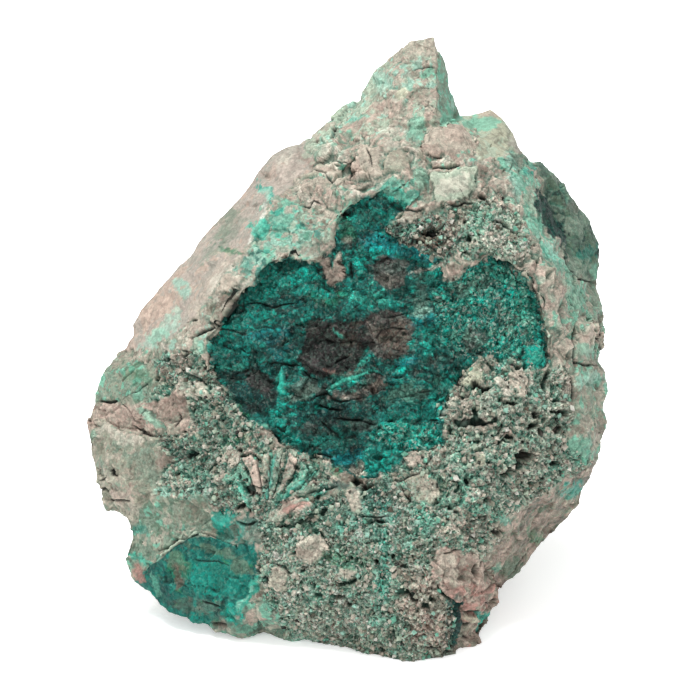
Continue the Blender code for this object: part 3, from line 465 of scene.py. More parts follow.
# Stains and veins laid over the zones, in the order in which they are laid: colour, strength, softness of
# the border in millimetres, and shape.
STAINS = (
    # shade over broad stretches of the ground
    ("moss", 0.4, 2, spot(-19, 28, 4, 5)), ("slate", 0.4, 2, spot(-14, 22.8, 6, 3.2)),
    ("sea", 0.45, 1.4, spot(-13.4, 16, 3, 2.2)), ("slate", 0.4, 1.2, spot(-14.6, 4.6, 3.4, 1.6)),
    ("slate", 0.35, 2, spot(-5, 19.4, 5, 2.4)), ("lichen", 0.3, 2, spot(20, 29.4, 6, 5)),
    ("blush", 0.55, 1.2, spot(10.6, 6.4, 2.4, 4.8)), ("rose", 0.45, 0.9, spot(8.6, 10.4, 1.5, 1.6, 20)),
    ("clay", 0.4, 1.4, spot(13.5, 16.6, 3.4, 1.6, 10)),
    ("turquoise", 0.4, 0.9, line(1.5, (3.4, 22.4), (4, 17), (3.7, 12), (4.1, 5))),
    ("teal", 0.35, 1.2, spot(0.6, 17.4, 3, 1.6)), ("ash", 0.35, 1.4, spot(-1.6, 5, 4.4, 2.2)),
    # the flank's veins and tints
    ("turquoise", 0.85, 0.3, line(0.55, (-11.4, 60.6), (-11.4, 59.3), (-10.1, 59), (-9.9, 57.9),
     (-9.2, 56.4))),
    ("pale mint", 0.7, 0.5, line(0.9, (-11.6, 59), (-10.6, 58.8), (-10.2, 57.6))),
    ("fern", 0.75, 0.4, line(0.6, (-17.2, 52), (-15.6, 51.6), (-14.6, 51.2), (-13.2, 51.1))),
    ("sage", 0.6, 0.9, line(1, (-18.6, 49.9), (-17, 51.2), (-16.2, 52.4), (-15.2, 54.6), (-14.4, 56.2))),
    ("moss", 0.35, 1.2, spot(-15.2, 54.4, 1.4, 2.2, -30)),
    ("pale mint", 0.75, 0.6, spot(-21.2, 46.8, 1, 1.2, 40)),
    ("flank warm", 0.9, 2, spot(-24.4, 43.6, 2, 3, -35)), ("beige", 0.6, 1, spot(-16, 48, 1, 5, -40)),
    ("pale mint", 0.55, 1, line(1.4, (-26, 39), (-24, 40.4), (-22.4, 42), (-21.6, 44))),
    ("mint", 0.4, 0.8, spot(-23.6, 40.4, 1.2, 0.8, 30)),
    ("blush", 0.55, 1, line(1.4, (-30, 37.6), (-28, 38.6), (-26.4, 39.8))),
    ("flank", 0.9, 0.6, spot(-8, 61, 2.2, 1.4, 35)),
    ("cream", 0.7, 0.5, line(0.9, (-9.2, 61.8), (-8, 62.8), (-6.8, 63.4))),
    ("flank cool", 0.7, 0.7, line(1.6, (-10.4, 62.6), (-8.8, 63.6), (-6.4, 64.4))),
    ("blush", 0.6, 0.6, line(0.8, (-10.8, 60.6), (-9.8, 61), (-9, 62))),
    ("clay", 0.55, 0.6, line(1, (-6.4, 64), (-5.2, 62.6), (-4.4, 61))),
    # the bright edge of the flank
    ("white", 0.8, 0.25, line(0.5, (-10.4, 57.2), (-10.6, 55.9), (-11.6, 54.4), (-12.6, 53),
     (-13.2, 51.8))),
    ("cream", 0.9, 0.3, line(0.8, (-14.4, 50), (-15.4, 48.8), (-16.6, 47.4), (-17.6, 46))),
    ("turquoise", 0.6, 0.6, spot(-13.2, 49.4, 0.8, 1.6, -10)),
    ("aqua", 0.8, 0.7, spot(-11.2, 53.6, 1.3, 1.2, 45)), ("aqua", 0.6, 0.8, spot(-8.6, 54.8, 2, 1.3, 10)),
    ("clay", 0.6, 0.7, spot(-4, 51.8, 1.8, 0.9)), ("blush", 0.6, 0.7, spot(-8.4, 51.2, 1, 0.9)),
    ("umber", 0.7, 0.4, line(1, (-14.6, 45.6), (-16, 44.6), (-17.4, 44.2))),
    ("beige", 0.8, 0.5, spot(-15.2, 47.2, 1.6, 0.9, 35)),
    ("pebble", 0.5, 0.7, spot(-17, 43.2, 1.3, 0.9, 30)),
    ("clay", 0.45, 0.8, spot(-19.4, 41.6, 1.8, 0.9, 30)), ("mint", 0.45, 0.8, spot(-18.6, 39.2, 1, 1)),
    # chips over the hollow
    ("cream", 0.6, 0.7, spot(-2, 63, 1.6, 1, -20)), ("lichen", 0.6, 0.8, spot(-4.4, 63.8, 1.2, 1.2, -20)),
    ("beige", 0.8, 0.5, spot(-3.4, 59.2, 2.4, 1, 10)), ("blush", 0.7, 0.5, spot(-3, 57.6, 2, 0.9, -20)),
    ("cream", 0.7, 0.4, line(0.7, (-0.4, 58.8), (1, 58.6), (1.8, 58))),
    ("beige", 0.85, 0.5, spot(2.2, 62.2, 1.6, 2.2, 10)), ("blush", 0.7, 0.5, spot(0.6, 60.8, 0.7, 1.8)),
    ("clay", 0.6, 0.4, line(0.5, (0.2, 62.4), (0.4, 61), (0.2, 59.8))),
    ("cream", 0.6, 0.4, line(0.8, (-7.8, 58.6), (-6, 58.4), (-4.6, 57.4))),
    ("aqua", 0.6, 0.6, line(1, (2, 59), (4, 59.4), (6.4, 59.6), (8, 60.4))),
    ("aqua", 0.7, 0.6, spot(6.2, 58.4, 2, 0.8)), ("mint", 0.6, 0.6, spot(8.6, 60.6, 0.9, 1.6)),
    ("cream", 0.7, 0.4, line(0.6, (2.4, 58.6), (3.4, 59.2), (4.6, 59.6))),
    ("pebble", 0.7, 0.6, spot(5.6, 62.4, 1.7, 1.6)),
    ("cream", 0.6, 0.4, line(0.5, (4, 64.8), (6, 64.4), (7.4, 63.8), (8.2, 62.8))),
    ("beige", 0.9, 0.4, spot(12.6, 65, 2.8, 1.6, 8)), ("blush", 0.5, 0.8, spot(13, 65.8, 1.8, 0.9)),
    ("clay", 0.5, 0.6, line(0.9, (9.6, 63.4), (11.6, 63.4), (13.6, 63.2))),
    ("aqua", 0.7, 0.4, spot(14.8, 62.7, 0.8, 0.4, 10)),
    ("lichen", 0.85, 0.4, area((10.2, 60.9), (12.4, 61.4), (15.6, 62), (15.4, 59.6), (14.6, 58),
     (12.4, 57.4), (10.4, 57.6))),
    ("cream", 0.6, 0.5, spot(12.8, 59.6, 2.2, 0.9, 20)), ("clay", 0.6, 0.5, spot(17.2, 60, 0.9, 2, 15)),
    ("blush", 0.7, 0.6, spot(18.8, 57.2, 0.6, 1.6, 20)), ("umber", 0.8, 0.5, spot(10, 53.2, 2.2, 1, -10)),
    ("umber", 0.7, 0.5, spot(13.6, 57, 1.8, 0.5)), ("umber", 0.6, 0.5, spot(8, 56.4, 1.6, 0.6, 15)),
    # A spot of painted shade, in the pit colour, over a pore.
    ("pit", 0.6, 0.4, spot(14.4, 53, 0.9, 0.9)), ("cream", 0.7, 0.6, spot(18.4, 52.6, 1.8, 1)),
    ("blush", 0.6, 0.6, spot(13, 54, 0.8, 1.6, -20)), ("mint", 0.6, 0.6, spot(15.8, 55, 0.7, 1.8)),
    ("lichen", 0.6, 0.6, spot(20.6, 54.6, 0.9, 1.4, 10)), ("white", 0.6, 0.3, spot(21, 53.9, 0.4, 0.3)),
    ("beige", 0.7, 0.6, line(1.8, (19.4, 51), (22, 50), (24.2, 48), (25.6, 45.4))),
    ("blush", 0.7, 0.5, spot(23.6, 48.8, 1.2, 0.8, -40)), ("blush", 0.7, 0.5, spot(13, 48, 1.2, 1.2, 30)),
    ("cream", 0.7, 0.3, line(0.45, (7.8, 48.5), (9.4, 48.9), (10.8, 49.5), (12, 49.2))),
    ("beige", 0.6, 0.6, line(1.4, (26, 45), (26.4, 41), (26.6, 37))),
    ("blush", 0.4, 0.8, line(0.8, (25.4, 42), (25.7, 40), (26, 37))),
    # the hollow
    ("teal", 0.8, 0.8, spot(-9, 48.2, 3.4, 1.5, 8)), ("turquoise", 0.5, 0.8, spot(-6, 46, 2.6, 0.8, 5)),
    ("turquoise", 0.45, 1, spot(-12, 45.6, 1.6, 0.7, 10)),
    # A painted shadow under a ledge, in deep teal.
    ("deep", 0.7, 0.7, line(1.1, (-11, 44.2), (-8.6, 44.6), (-6, 45), (-3.4, 45))),
    ("teal", 0.6, 0.8, spot(-13.6, 42.8, 1.6, 1, 25)), ("azure", 0.6, 0.8, spot(-10.2, 40.8, 2.6, 1)),
    ("turquoise", 0.4, 0.8, spot(-14.8, 41.2, 1.8, 0.8, 10)),
    ("sea", 0.7, 0.8, spot(-13.4, 38.8, 2.2, 1.2)), ("teal", 0.6, 0.8, spot(-16.2, 38.6, 1, 1.2)),
    ("azure", 0.5, 0.8, spot(-9, 38.6, 1.6, 0.7)),
    ("aqua", 0.6, 0.4, line(0.5, (-17.4, 36.6), (-15, 37), (-12.6, 36.8))),
    ("ink", 0.65, 1.6, spot(-10.5, 31, 5.4, 2.6, -25)), ("ink", 0.6, 1.6, spot(-2.4, 28.6, 5.4, 2.4, -5)),
    ("ink", 0.5, 1.6, spot(-7.5, 34.6, 6, 2.4)), ("ink", 0.4, 1.6, spot(-8, 39, 3.4, 2.6)),
    ("ink", 0.75, 0.6, spot(-14, 35.2, 2.4, 0.9, -12)),
    ("charcoal", 0.9, 0.5, spot(-11.2, 35, 1.9, 1.2, -20)), ("charcoal", 0.6, 0.6, spot(-10, 33.6, 1, 0.7)),
    ("aqua", 0.9, 0.3, spot(-8.6, 35, 0.6, 1.5, 5)), ("turquoise", 0.6, 0.4, spot(-8.4, 32.6, 0.8, 1.2)),
    ("deep", 0.6, 0.8, spot(-14.6, 32.8, 1.8, 1.6, 30)),
    ("fern", 0.6, 0.5, line(0.6, (-14, 31.8), (-13, 31), (-12, 30.4))),
    ("charcoal", 0.6, 0.6, spot(-11.8, 31.4, 1, 0.8)), ("sea", 0.7, 0.8, spot(-10.8, 29.8, 2.2, 1)),
    ("teal", 0.8, 0.5, area((-10.6, 31.6), (-8.2, 32), (-7.6, 29.8), (-6.4, 28.6), (-6, 26.8), (-7.8, 26.6),
     (-9, 28.4), (-10.6, 30))),
    ("sea", 0.6, 0.8, spot(-4.8, 27.4, 1.6, 1)), ("smoke", 0.6, 0.7, spot(-5.6, 34.2, 2.2, 1.2)),
    ("slate", 0.6, 0.7, spot(-6.2, 33.2, 1.8, 0.8, 10)),
    ("charcoal", 0.97, 0.4, area((-5.8, 40.6), (-4.6, 42), (-2.6, 42.4), (-0.6, 42.2), (1.4, 41.8),
     (2.4, 43.2), (3.4, 43.4), (2.8, 40), (1.6, 37.6), (0.4, 36.4), (-1.6, 35.6), (-3.6, 35.3), (-5.2, 36),
     (-6.2, 37.4), (-6.1, 39.2))),
    ("soot", 0.8, 0.6, spot(-3.2, 41, 2.4, 1)), ("umber", 0.35, 1, spot(0.2, 40, 1, 1.6)),
    ("ink", 0.55, 0.8, spot(-6.8, 40.6, 1, 1.8)),
    ("smoke", 0.92, 0.5, area((1.8, 40.4), (2.4, 43.6), (4.2, 43.8), (5.8, 43.4), (7.8, 42.8), (8.2, 41),
     (7.6, 38.8), (6, 37.6), (3.6, 37.6), (2.2, 38.4))),
    ("charcoal", 0.6, 0.6, spot(4.2, 41.4, 1.6, 1.2, 15)), ("umber", 0.5, 1.2, spot(5.2, 40.4, 2.6, 2)),
    ("ash", 0.4, 0.6, spot(2.9, 41.8, 0.4, 1.2)),
    ("smoke", 0.85, 0.6, area((2, 48.4), (3.2, 49.8), (4, 50.8), (5.6, 50.8), (7.2, 50.2), (7.6, 48.6),
     (6.8, 47), (4.8, 46.6), (3, 47.4))),
    ("ash", 0.8, 0.6, spot(5, 48, 1.8, 0.9)), ("soot", 0.85, 0.4, spot(4.6, 50.2, 1.2, 0.5, 5)),
    ("teal", 0.7, 0.7, spot(1.4, 50.4, 0.9, 2)),
    ("azure", 0.6, 0.8, area((1, 53), (3, 54.4), (6, 52.6), (8, 52), (10.6, 50.6), (9, 50.2), (6, 51.2),
     (2, 51.4))),
    ("teal", 0.8, 0.6, spot(1.8, 55.2, 1.6, 1.6)), ("fern", 0.35, 0.8, spot(-0.4, 54, 1.2, 1.6)),
    ("turquoise", 0.6, 0.7, spot(4.4, 55.4, 1.2, 0.8, -20)),
    ("ink", 0.6, 0.5, line(0.8, (1.6, 52.8), (2, 53.6), (4.4, 53.6))),
    ("fern", 0.4, 0.9, spot(-2.6, 45.2, 2, 0.8)), ("aqua", 0.4, 0.9, spot(3, 45.2, 3, 0.9, 4)),
    ("sea", 0.6, 0.9, spot(0.2, 44, 3, 0.8)), ("slate", 0.5, 0.9, spot(9.2, 48, 1.4, 0.8, 10)),
    ("slate", 0.55, 0.8, spot(8.6, 45.2, 1.4, 1.6)), ("pale mint", 0.5, 0.5, spot(9, 44, 0.9, 1)),
    ("azure", 0.5, 0.9, spot(9.8, 42.4, 1.6, 0.8)), ("turquoise", 0.4, 0.9, spot(11.2, 41, 2, 1.8)),
    ("ash", 0.55, 0.7, spot(15.4, 40.6, 1.6, 1.4)), ("charcoal", 0.55, 0.6, spot(16.2, 39, 1.2, 1)),
    ("ash", 0.4, 0.7, spot(11, 37.6, 1.6, 0.6)), ("turquoise", 0.5, 0.8, spot(15.6, 44.4, 1.6, 1)),
    ("aqua", 0.6, 0.7, spot(19, 48, 2.4, 0.9, -10)),
    ("turquoise", 0.6, 0.8, spot(20.8, 45.4, 1.2, 1.8, 20)),
    ("aqua", 0.75, 0.7, spot(22.2, 44.4, 1.2, 1.8, 30)), ("slate", 0.5, 0.7, spot(19.8, 42.8, 1.6, 1)),
    ("sea", 0.6, 0.8, spot(17.6, 42.6, 2, 1.2)), ("ash", 0.5, 0.6, spot(14.2, 46, 1, 1)),
    ("slate", 0.55, 0.6, spot(16.6, 47, 1.6, 0.8, 20)), ("turquoise", 0.6, 0.8, spot(20.6, 40, 2, 1)),
    ("turquoise", 0.95, 0.5, spot(22.8, 38, 1.5, 1.7, -20)), ("aqua", 0.6, 0.5, spot(23.2, 37.8, 0.8, 0.7)),
    ("teal", 0.7, 0.8, spot(24, 40.4, 0.9, 1.2)), ("turquoise", 0.7, 0.6, spot(18.6, 37.2, 0.9, 0.6)),
    ("sea", 0.7, 0.8, spot(12.6, 37, 2.4, 1.2, 20)), ("turquoise", 0.5, 0.7, spot(11, 33.8, 1, 2.2, -10)),
    ("slate", 0.5, 0.6, spot(10.6, 35.2, 0.7, 1.2)), ("sea", 0.7, 0.9, spot(5.6, 33, 3, 1.6)),
    ("moss", 0.45, 0.9, spot(6.8, 33.4, 2.6, 1, -5)),
    ("smoke", 0.75, 0.6, area((-2.4, 34), (0, 34.8), (2.2, 35.8), (4.4, 35.6), (4, 34), (2.4, 33.6),
     (0.2, 33), (-2, 33.2))),
    ("clay", 0.6, 0.5, spot(2.6, 34.6, 1.8, 0.5, 15)), ("clay", 0.55, 0.5, spot(-0.6, 33.3, 1.6, 0.4, -8)),
    ("white", 0.6, 0.2, spot(0, 33, 0.5, 0.2)),
    ("rose", 0.4, 0.5, line(0.5, (-3, 36.4), (-1, 35.4), (1, 36))),
    ("aqua", 0.85, 0.25, line(0.45, (-2.8, 34.1), (-1, 35), (1.2, 35.8), (3.2, 36.2))),
    ("aqua", 0.6, 0.25, line(0.3, (-0.2, 34.2), (1, 34.6), (2, 35.4))),
    ("aqua", 0.7, 0.25, line(0.35, (-1.8, 41.6), (-1.2, 40.6), (-0.4, 40))),
    ("azure", 0.6, 0.5, line(0.8, (5.2, 36.4), (7.2, 37.2), (9, 38))),
    ("ink", 0.75, 0.6, spot(0.2, 32.2, 3.4, 0.7)), ("ink", 0.6, 0.8, spot(-4.4, 30.4, 3, 1, -6)),
    ("deep", 0.6, 0.9, spot(-1.2, 31.2, 3, 0.6)), ("smoke", 0.5, 0.7, spot(1.6, 29.4, 2.2, 0.7, -8)),
    ("smoke", 0.45, 0.7, spot(-4.8, 29, 1.8, 0.7)), ("teal", 0.6, 0.8, spot(8.4, 31, 2.6, 1)),
    ("turquoise", 0.9, 0.7, area((3, 28), (4.4, 29.6), (7.6, 29.7), (10.6, 29.2), (10.8, 27.6),
     (11.6, 26.4), (8, 26.2), (5.6, 27.2))),
    ("aqua", 0.55, 0.8, spot(7.6, 28.6, 2.6, 0.8, -4)),
    ("ink", 0.45, 0.4, line(0.4, (3.4, 29.2), (5, 28.2), (6.4, 27.4))),
    ("azure", 0.8, 0.7, spot(-0.8, 25.6, 2, 0.8)), ("teal", 0.7, 0.8, spot(4, 25.6, 2.6, 1.6, 20)),
    ("sea", 0.6, 0.8, spot(2.4, 27.4, 2, 0.8, -15)), ("teal", 0.6, 0.8, spot(-2.6, 27.4, 1.8, 0.8)),
    ("clay", 0.9, 0.35, area((-3.4, 50.6), (-2.4, 50.2), (-2.6, 48.8), (-2, 49.2), (-1.4, 50.8),
     (-0.8, 50.2), (-0.2, 48.6), (-0.6, 47), (-2.2, 46.9), (-3.4, 47.8))),
    ("beige", 0.5, 0.4, spot(-1.2, 50, 0.3, 0.9)), ("beige", 0.4, 0.4, spot(-0.4, 52.4, 0.6, 0.5)),
    # the left side
    # A painted highlight along the lit top edge of the left block.
    ("cream", 0.6, 0.5, line(1.3, (-32, 28), (-30.2, 28.8), (-28, 27.7), (-25, 27.6))),
    ("mint", 0.45, 0.5, spot(-32, 28.2, 0.6, 0.6)),
    ("beige", 0.7, 0.8, line(1.8, (-30.4, 20), (-28.4, 20.2), (-27.4, 18.8), (-26.6, 17.6))),
    ("blush", 0.6, 0.8, spot(-28.2, 20.6, 1.6, 0.7)), ("clay", 0.7, 0.7, spot(-23.2, 24.9, 1, 0.9)),
    ("beige", 0.5, 1, spot(-29.6, 23, 1.6, 1.2)), ("sage", 0.5, 1, spot(-25.4, 24.4, 1.2, 2.4)),
    ("blush", 0.7, 1, spot(-28.8, 31, 2.6, 1)), ("fern", 0.35, 0.8, spot(-26.6, 35.4, 1.6, 1, 20)),
    ("mint", 0.55, 0.7, spot(-26.2, 33.6, 1.2, 0.8, 20)),
    ("mint", 0.6, 0.6, line(1.2, (-25.6, 31.8), (-25.2, 30.6), (-24.4, 29.6), (-23, 28.8))),
    ("pale mint", 0.6, 0.6, spot(-22.6, 37.2, 1.2, 0.9)),
    ("pale mint", 0.6, 0.6, line(0.9, (-22, 36.6), (-21.8, 35), (-22, 33.6))),
    ("clay", 0.8, 0.7, spot(-20.6, 37.6, 1.4, 1.2)), ("beige", 0.7, 0.6, spot(-19.8, 34.2, 1.7, 1, -20)),
    ("umber", 0.65, 0.5, line(0.7, (-20.6, 36.2), (-19, 35.4), (-17.6, 34.6))),
    ("clay", 0.75, 0.7, spot(-21.8, 32, 2.2, 1.4)), ("umber", 0.6, 0.5, spot(-23.4, 34.6, 0.9, 1.4)),
    ("blush", 0.8, 0.5, spot(-20.2, 29.2, 1.5, 1.1)), ("sage", 0.6, 0.7, spot(-18.6, 31.4, 1.2, 1.6)),
    ("ash", 0.5, 0.6, spot(-15.2, 29.6, 1.4, 0.9)),
    ("fern", 0.75, 0.5, line(0.9, (-16.2, 28), (-14.8, 27.6), (-13.2, 27.9), (-12.4, 28.4))),
    ("mint", 0.5, 0.3, line(0.4, (-13, 29.2), (-11.6, 29.3), (-10.4, 29))),
    ("clay", 0.6, 0.5, spot(-12, 28, 1.4, 0.7, 10)), ("beige", 0.8, 0.5, spot(-14.6, 25.4, 1.4, 1.3)),
    ("beige", 0.8, 0.5, spot(-15.6, 23.2, 1.7, 0.7, 15)), ("ink", 0.45, 0.6, spot(-20.8, 26, 1.8, 1.2)),
    ("mint", 0.5, 0.6, spot(-20, 23.6, 2.2, 1)), ("pale mint", 0.8, 0.5, spot(-23.2, 21, 1.2, 0.6)),
    ("pale mint", 0.5, 0.6, spot(-18.6, 21.4, 2, 0.8)),
    # splinters under the hollow
    ("mint", 0.8, 0.5, area((-15, 24), (-13.6, 23), (-12.6, 20.6), (-12.2, 18.8), (-13.6, 19.2),
     (-15, 21.4), (-16.2, 22.8))),
    ("beige", 0.95, 0.3, spot(-11.7, 22.4, 0.6, 1.9, -4)),
    ("cream", 0.7, 0.3, line(0.4, (-12.6, 26.4), (-11.9, 25.4), (-11.6, 24.4))),
    ("blush", 0.7, 0.4, spot(-12.2, 26.2, 0.6, 0.9)), ("beige", 0.7, 0.4, spot(-9.2, 26, 0.8, 0.6, -30)),
    ("beige", 0.6, 0.4, spot(-7.4, 25, 1.2, 0.5, -30)),
    ("aqua", 0.85, 0.3, line(0.7, (-11.4, 19.8), (-10.6, 21.4), (-9.4, 22.6), (-7.6, 23.2), (-5.2, 22.8))),
    ("turquoise", 0.7, 0.3, line(0.6, (-10.6, 23.6), (-9.6, 24.6), (-9, 25.8))),
    ("aqua", 0.7, 0.4, line(1, (-9.2, 20), (-7.6, 20.8), (-5.6, 21.6), (-3.6, 22.2))),
    ("pale mint", 0.6, 0.4, line(0.5, (-9.4, 21.2), (-8, 21.9), (-6.2, 22))),
    ("turquoise", 0.7, 0.4, line(0.5, (-9.6, 18.4), (-8.4, 19.6), (-7.2, 20.4))),
    ("white", 0.6, 0.3, spot(-6.6, 21.8, 0.5, 0.25, 20)),
    ("deep", 0.7, 0.4, line(0.7, (-5.4, 20.8), (-3.6, 21.4), (-1.6, 21.8), (1, 22.6))),
    ("fern", 0.6, 0.5, spot(-2, 23.8, 1, 0.9)), ("mint", 0.5, 0.6, spot(-4.6, 24.2, 1.4, 0.7, -20)),
    ("beige", 0.7, 0.5, spot(1, 24.2, 1.2, 0.6)), ("umber", 0.75, 0.5, spot(1, 23, 1.8, 0.6)),
    ("blush", 0.9, 0.35, spot(-6.9, 19.2, 1.5, 0.9, 20)), ("rose", 0.8, 0.5, spot(-6.6, 19.1, 0.7, 0.4)),
    ("lichen", 0.8, 0.35, line(0.5, (-9.4, 17.2), (-8.6, 18.2), (-7.6, 19.2))),
    # A painted shadow under the lens-shaped chip, in moss.
    ("moss", 0.6, 0.5, spot(-6.6, 17.4, 2.2, 0.6, 10)),
    ("beige", 0.9, 0.35, area((-6.6, 15.8), (-4.8, 16.2), (-3.8, 16), (-2.8, 14), (-3, 13), (-5.4, 12.6),
     (-7.4, 13), (-7, 14.4))),
    ("clay", 0.5, 0.6, spot(-6.2, 13.8, 1.2, 0.7)), ("pale mint", 0.6, 0.5, spot(-7.8, 15, 0.6, 0.9, -20)),
    ("beige", 0.85, 0.4, area((-10, 11.6), (-8.4, 12), (-7.4, 10.8), (-8, 8.8), (-9.2, 8.8), (-10.2, 9.8))),
    ("pebble", 0.5, 0.5, spot(-9.4, 10.4, 0.7, 0.8)), ("beige", 0.85, 0.4, spot(0.8, 20.4, 1, 1.4)),
    ("beige", 0.8, 0.4, spot(-0.8, 11, 1.3, 0.9)), ("umber", 0.5, 0.5, spot(-10.6, 15.4, 0.9, 0.7)),
    ("blush", 0.8, 0.4, spot(-11.8, 5.6, 1, 0.8)),
    # the teal lobe
    # A painted highlight along the top of the edge over the lobe.
    ("lichen", 0.85, 0.25, line(0.45, *LOBE_EDGE)),
    ("deep", 0.55, 0.7, spot(-17, 14.8, 3, 1, -14)), ("moss", 0.7, 0.7, spot(-16.6, 13.8, 3, 0.7, -8)),
    ("fern", 0.5, 0.8, spot(-21.4, 11.8, 1.6, 1.6)), ("moss", 0.6, 0.7, spot(-21.8, 12.4, 1.5, 1)),
    ("umber", 0.75, 0.35, line(0.7, (-21.6, 11.6), (-21.3, 10), (-21.4, 8.6))),
    ("umber", 0.45, 0.5, spot(-21.4, 11.4, 0.8, 0.5)),
    ("teal", 0.9, 0.6, area((-19.8, 12.4), (-15, 12.6), (-14.4, 11.4), (-13.4, 11), (-12.2, 11), (-12.8, 9),
     (-14.4, 7.6), (-17, 8), (-20, 9))),
    ("turquoise", 0.35, 0.9, spot(-18.4, 10.2, 1.8, 1.6)), ("sea", 0.75, 0.7, spot(-13.4, 13.4, 1.6, 1.6)),
    ("moss", 0.75, 0.7, area((-15, 13.6), (-12, 12.4), (-11.8, 11.2), (-13.4, 11), (-15.4, 11.6))),
    ("slate", 0.75, 0.6, spot(-17.8, 7, 1.9, 0.8, -8)), ("umber", 0.4, 0.7, spot(-20.6, 6.8, 2, 0.7, -15)),
    ("deep", 0.6, 0.8, spot(-23, 8.6, 1, 2, 20)),
    ("mint", 0.5, 0.7, line(1, (-25, 11), (-24.4, 9.6), (-23.4, 8.4))),
    ("aqua", 0.9, 0.5, area((-12.4, 10.6), (-11.4, 10.6), (-12, 8.6), (-13, 6.6), (-14, 4.8), (-14.8, 4.6),
     (-13.8, 6.6), (-13, 8.8))),
    ("pale mint", 0.55, 0.4, line(0.35, (-12.4, 9.6), (-13, 7.8), (-13.8, 6))),
    ("turquoise", 0.8, 0.6, spot(-14.6, 6, 1.1, 1.2, 20)),
    ("turquoise", 0.9, 0.7, spot(-16.2, 18, 1.7, 1.7, -10)), ("teal", 0.6, 0.7, spot(-15.2, 16, 1.4, 1)),
    ("turquoise", 0.6, 0.6, spot(-13.6, 16.6, 0.8, 1.2, 10)),
    ("sea", 0.5, 0.7, spot(-12.4, 17.6, 1.4, 0.8)), ("rose", 0.8, 0.4, spot(-26.8, 11.2, 0.8, 0.9)),
    ("aqua", 0.75, 0.4, line(1, (-27.4, 13.2), (-26.2, 12.8), (-25, 12.2))),
    ("turquoise", 0.5, 0.5, spot(-26.4, 16.4, 0.9, 0.5)),
    ("beige", 0.5, 0.5, line(0.8, (-27.4, 18), (-27.6, 16), (-27.6, 13.8))),
    ("umber", 0.7, 0.4, line(0.6, (-17.6, 4.5), (-16.6, 4.4), (-15.4, 4.2))),
    ("pebble", 0.5, 0.8, spot(-20.4, 18.8, 2.4, 1.4)), ("umber", 0.4, 0.6, spot(-19.4, 19.4, 1.2, 0.7)),
    # the lower middle
    ("sea", 0.6, 0.8, spot(3.8, 20.4, 2.4, 1.8)), ("ink", 0.55, 0.8, spot(3, 21.6, 2, 1.4)),
    ("turquoise", 0.55, 0.8, spot(4.8, 18.6, 1.6, 1.2)),
    ("aqua", 0.6, 0.7, line(1.2, (4.6, 16.4), (4.2, 13.6), (4.4, 10.8), (4.2, 9), (5, 6.4))),
    ("fern", 0.6, 0.8, spot(-0.8, 12.6, 2.4, 1)), ("turquoise", 0.45, 0.7, spot(-3, 19.4, 1.6, 0.8)),
    ("aqua", 0.5, 0.7, spot(-0.4, 17.2, 1.2, 0.8)), ("mint", 0.5, 0.8, spot(-5, 7.8, 1.6, 1)),
    ("aqua", 0.5, 0.6, spot(-9.6, 7.2, 1, 0.7)), ("aqua", 0.45, 0.8, spot(9.6, 17.4, 1.4, 1.4)),
    ("beige", 0.5, 0.8, spot(12.4, 16.4, 1.2, 1.4)), ("fern", 0.5, 0.6, spot(11.2, 22.2, 0.9, 1.4, 20)),
    ("mint", 0.6, 0.6, spot(12.4, 20, 1.6, 0.8, 10)), ("mint", 0.5, 0.6, spot(14.4, 23, 0.8, 1)),
    ("sage", 0.5, 0.8, spot(-6, 3.6, 4, 0.8, -10)), ("moss", 0.35, 0.8, spot(4, 1.8, 4, 0.7, -8)),
    ("lichen", 0.4, 0.6, spot(9.8, 0.9, 2.4, 0.5)), ("blush", 0.5, 0.8, spot(6, 6.6, 1.4, 1)),
    # the pitted ground's blocks
    ("pebble", 0.95, 0.35, PEBBLE_BLOCK),
    ("beige", 0.6, 0.6, spot(9.6, 21.4, 1.2, 1.4, -30)), ("beige", 0.9, 0.35, spot(8.4, 24.9, 1.4, 0.7)),
    ("blush", 0.5, 0.4, spot(8.6, 25, 0.7, 0.4)),
    ("olive", 0.95, 0.3, OLIVE_BLOCK),
    ("cream", 0.8, 0.35, spot(17, 36.6, 0.7, 0.6, 30)),
    ("cream", 0.9, 0.25, CREAM_BLOCK),
    ("beige", 0.95, 0.25, BEIGE_BLOCK),
    ("rose", 0.5, 0.4, line(0.6, (24, 35.6), (24.2, 34.6), (24, 33.8))),
    ("beige", 0.85, 0.4, area((13.2, 33.2), (15.4, 33.4), (15, 31.6), (14.6, 30.2), (12.4, 30.2),
     (12.2, 31.6))),
    ("pebble", 0.8, 0.4, spot(13.2, 28.8, 1.2, 0.9)),
    ("cream", 0.7, 0.35, line(0.5, (15.4, 30.2), (17, 31), (18.6, 30.6))),
    ("blush", 0.7, 0.5, spot(17, 29.8, 1.3, 0.7)), ("rose", 0.5, 0.5, spot(20.2, 28.6, 0.6, 0.6)),
    ("olive", 0.85, 0.35, spot(16.3, 24.9, 0.7, 1)), ("cream", 0.5, 0.4, spot(16.2, 24, 0.7, 0.5)),
    ("mint", 0.7, 0.6, spot(28.6, 26.4, 1.4, 1.6, -20)), ("pale mint", 0.6, 0.6, spot(22.8, 33.2, 1.2, 1)),
    ("mint", 0.5, 0.6, spot(13, 25.4, 1.3, 0.7)),
    ("beige", 0.6, 0.6, line(1, (26.2, 37), (27, 34.4), (26.8, 32))),
    ("blush", 0.5, 0.6, line(0.5, (28.2, 36.4), (27.8, 34.6), (27.6, 32.4))),
    ("pale mint", 0.6, 0.7, spot(30, 35, 1.6, 1)), ("beige", 0.9, 0.5, spot(29.4, 40, 1.4, 1.9)),
    ("mint", 0.6, 0.5, spot(29.6, 38.8, 1.3, 0.7)), ("blush", 0.5, 0.7, spot(29.4, 40.8, 1, 0.6)),
    ("clay", 0.5, 0.7, spot(31.4, 29, 0.8, 1.4)), ("sage", 0.5, 0.8, spot(30.6, 45, 1, 2.2)),
    ("umber", 0.7, 0.4, line(0.6, (31.2, 43.6), (31.4, 42.4))),
    ("clay", 0.6, 0.5, spot(31.2, 40.4, 0.6, 0.8)), ("mint", 0.6, 0.7, spot(28, 45.6, 0.9, 2.2, 10)),
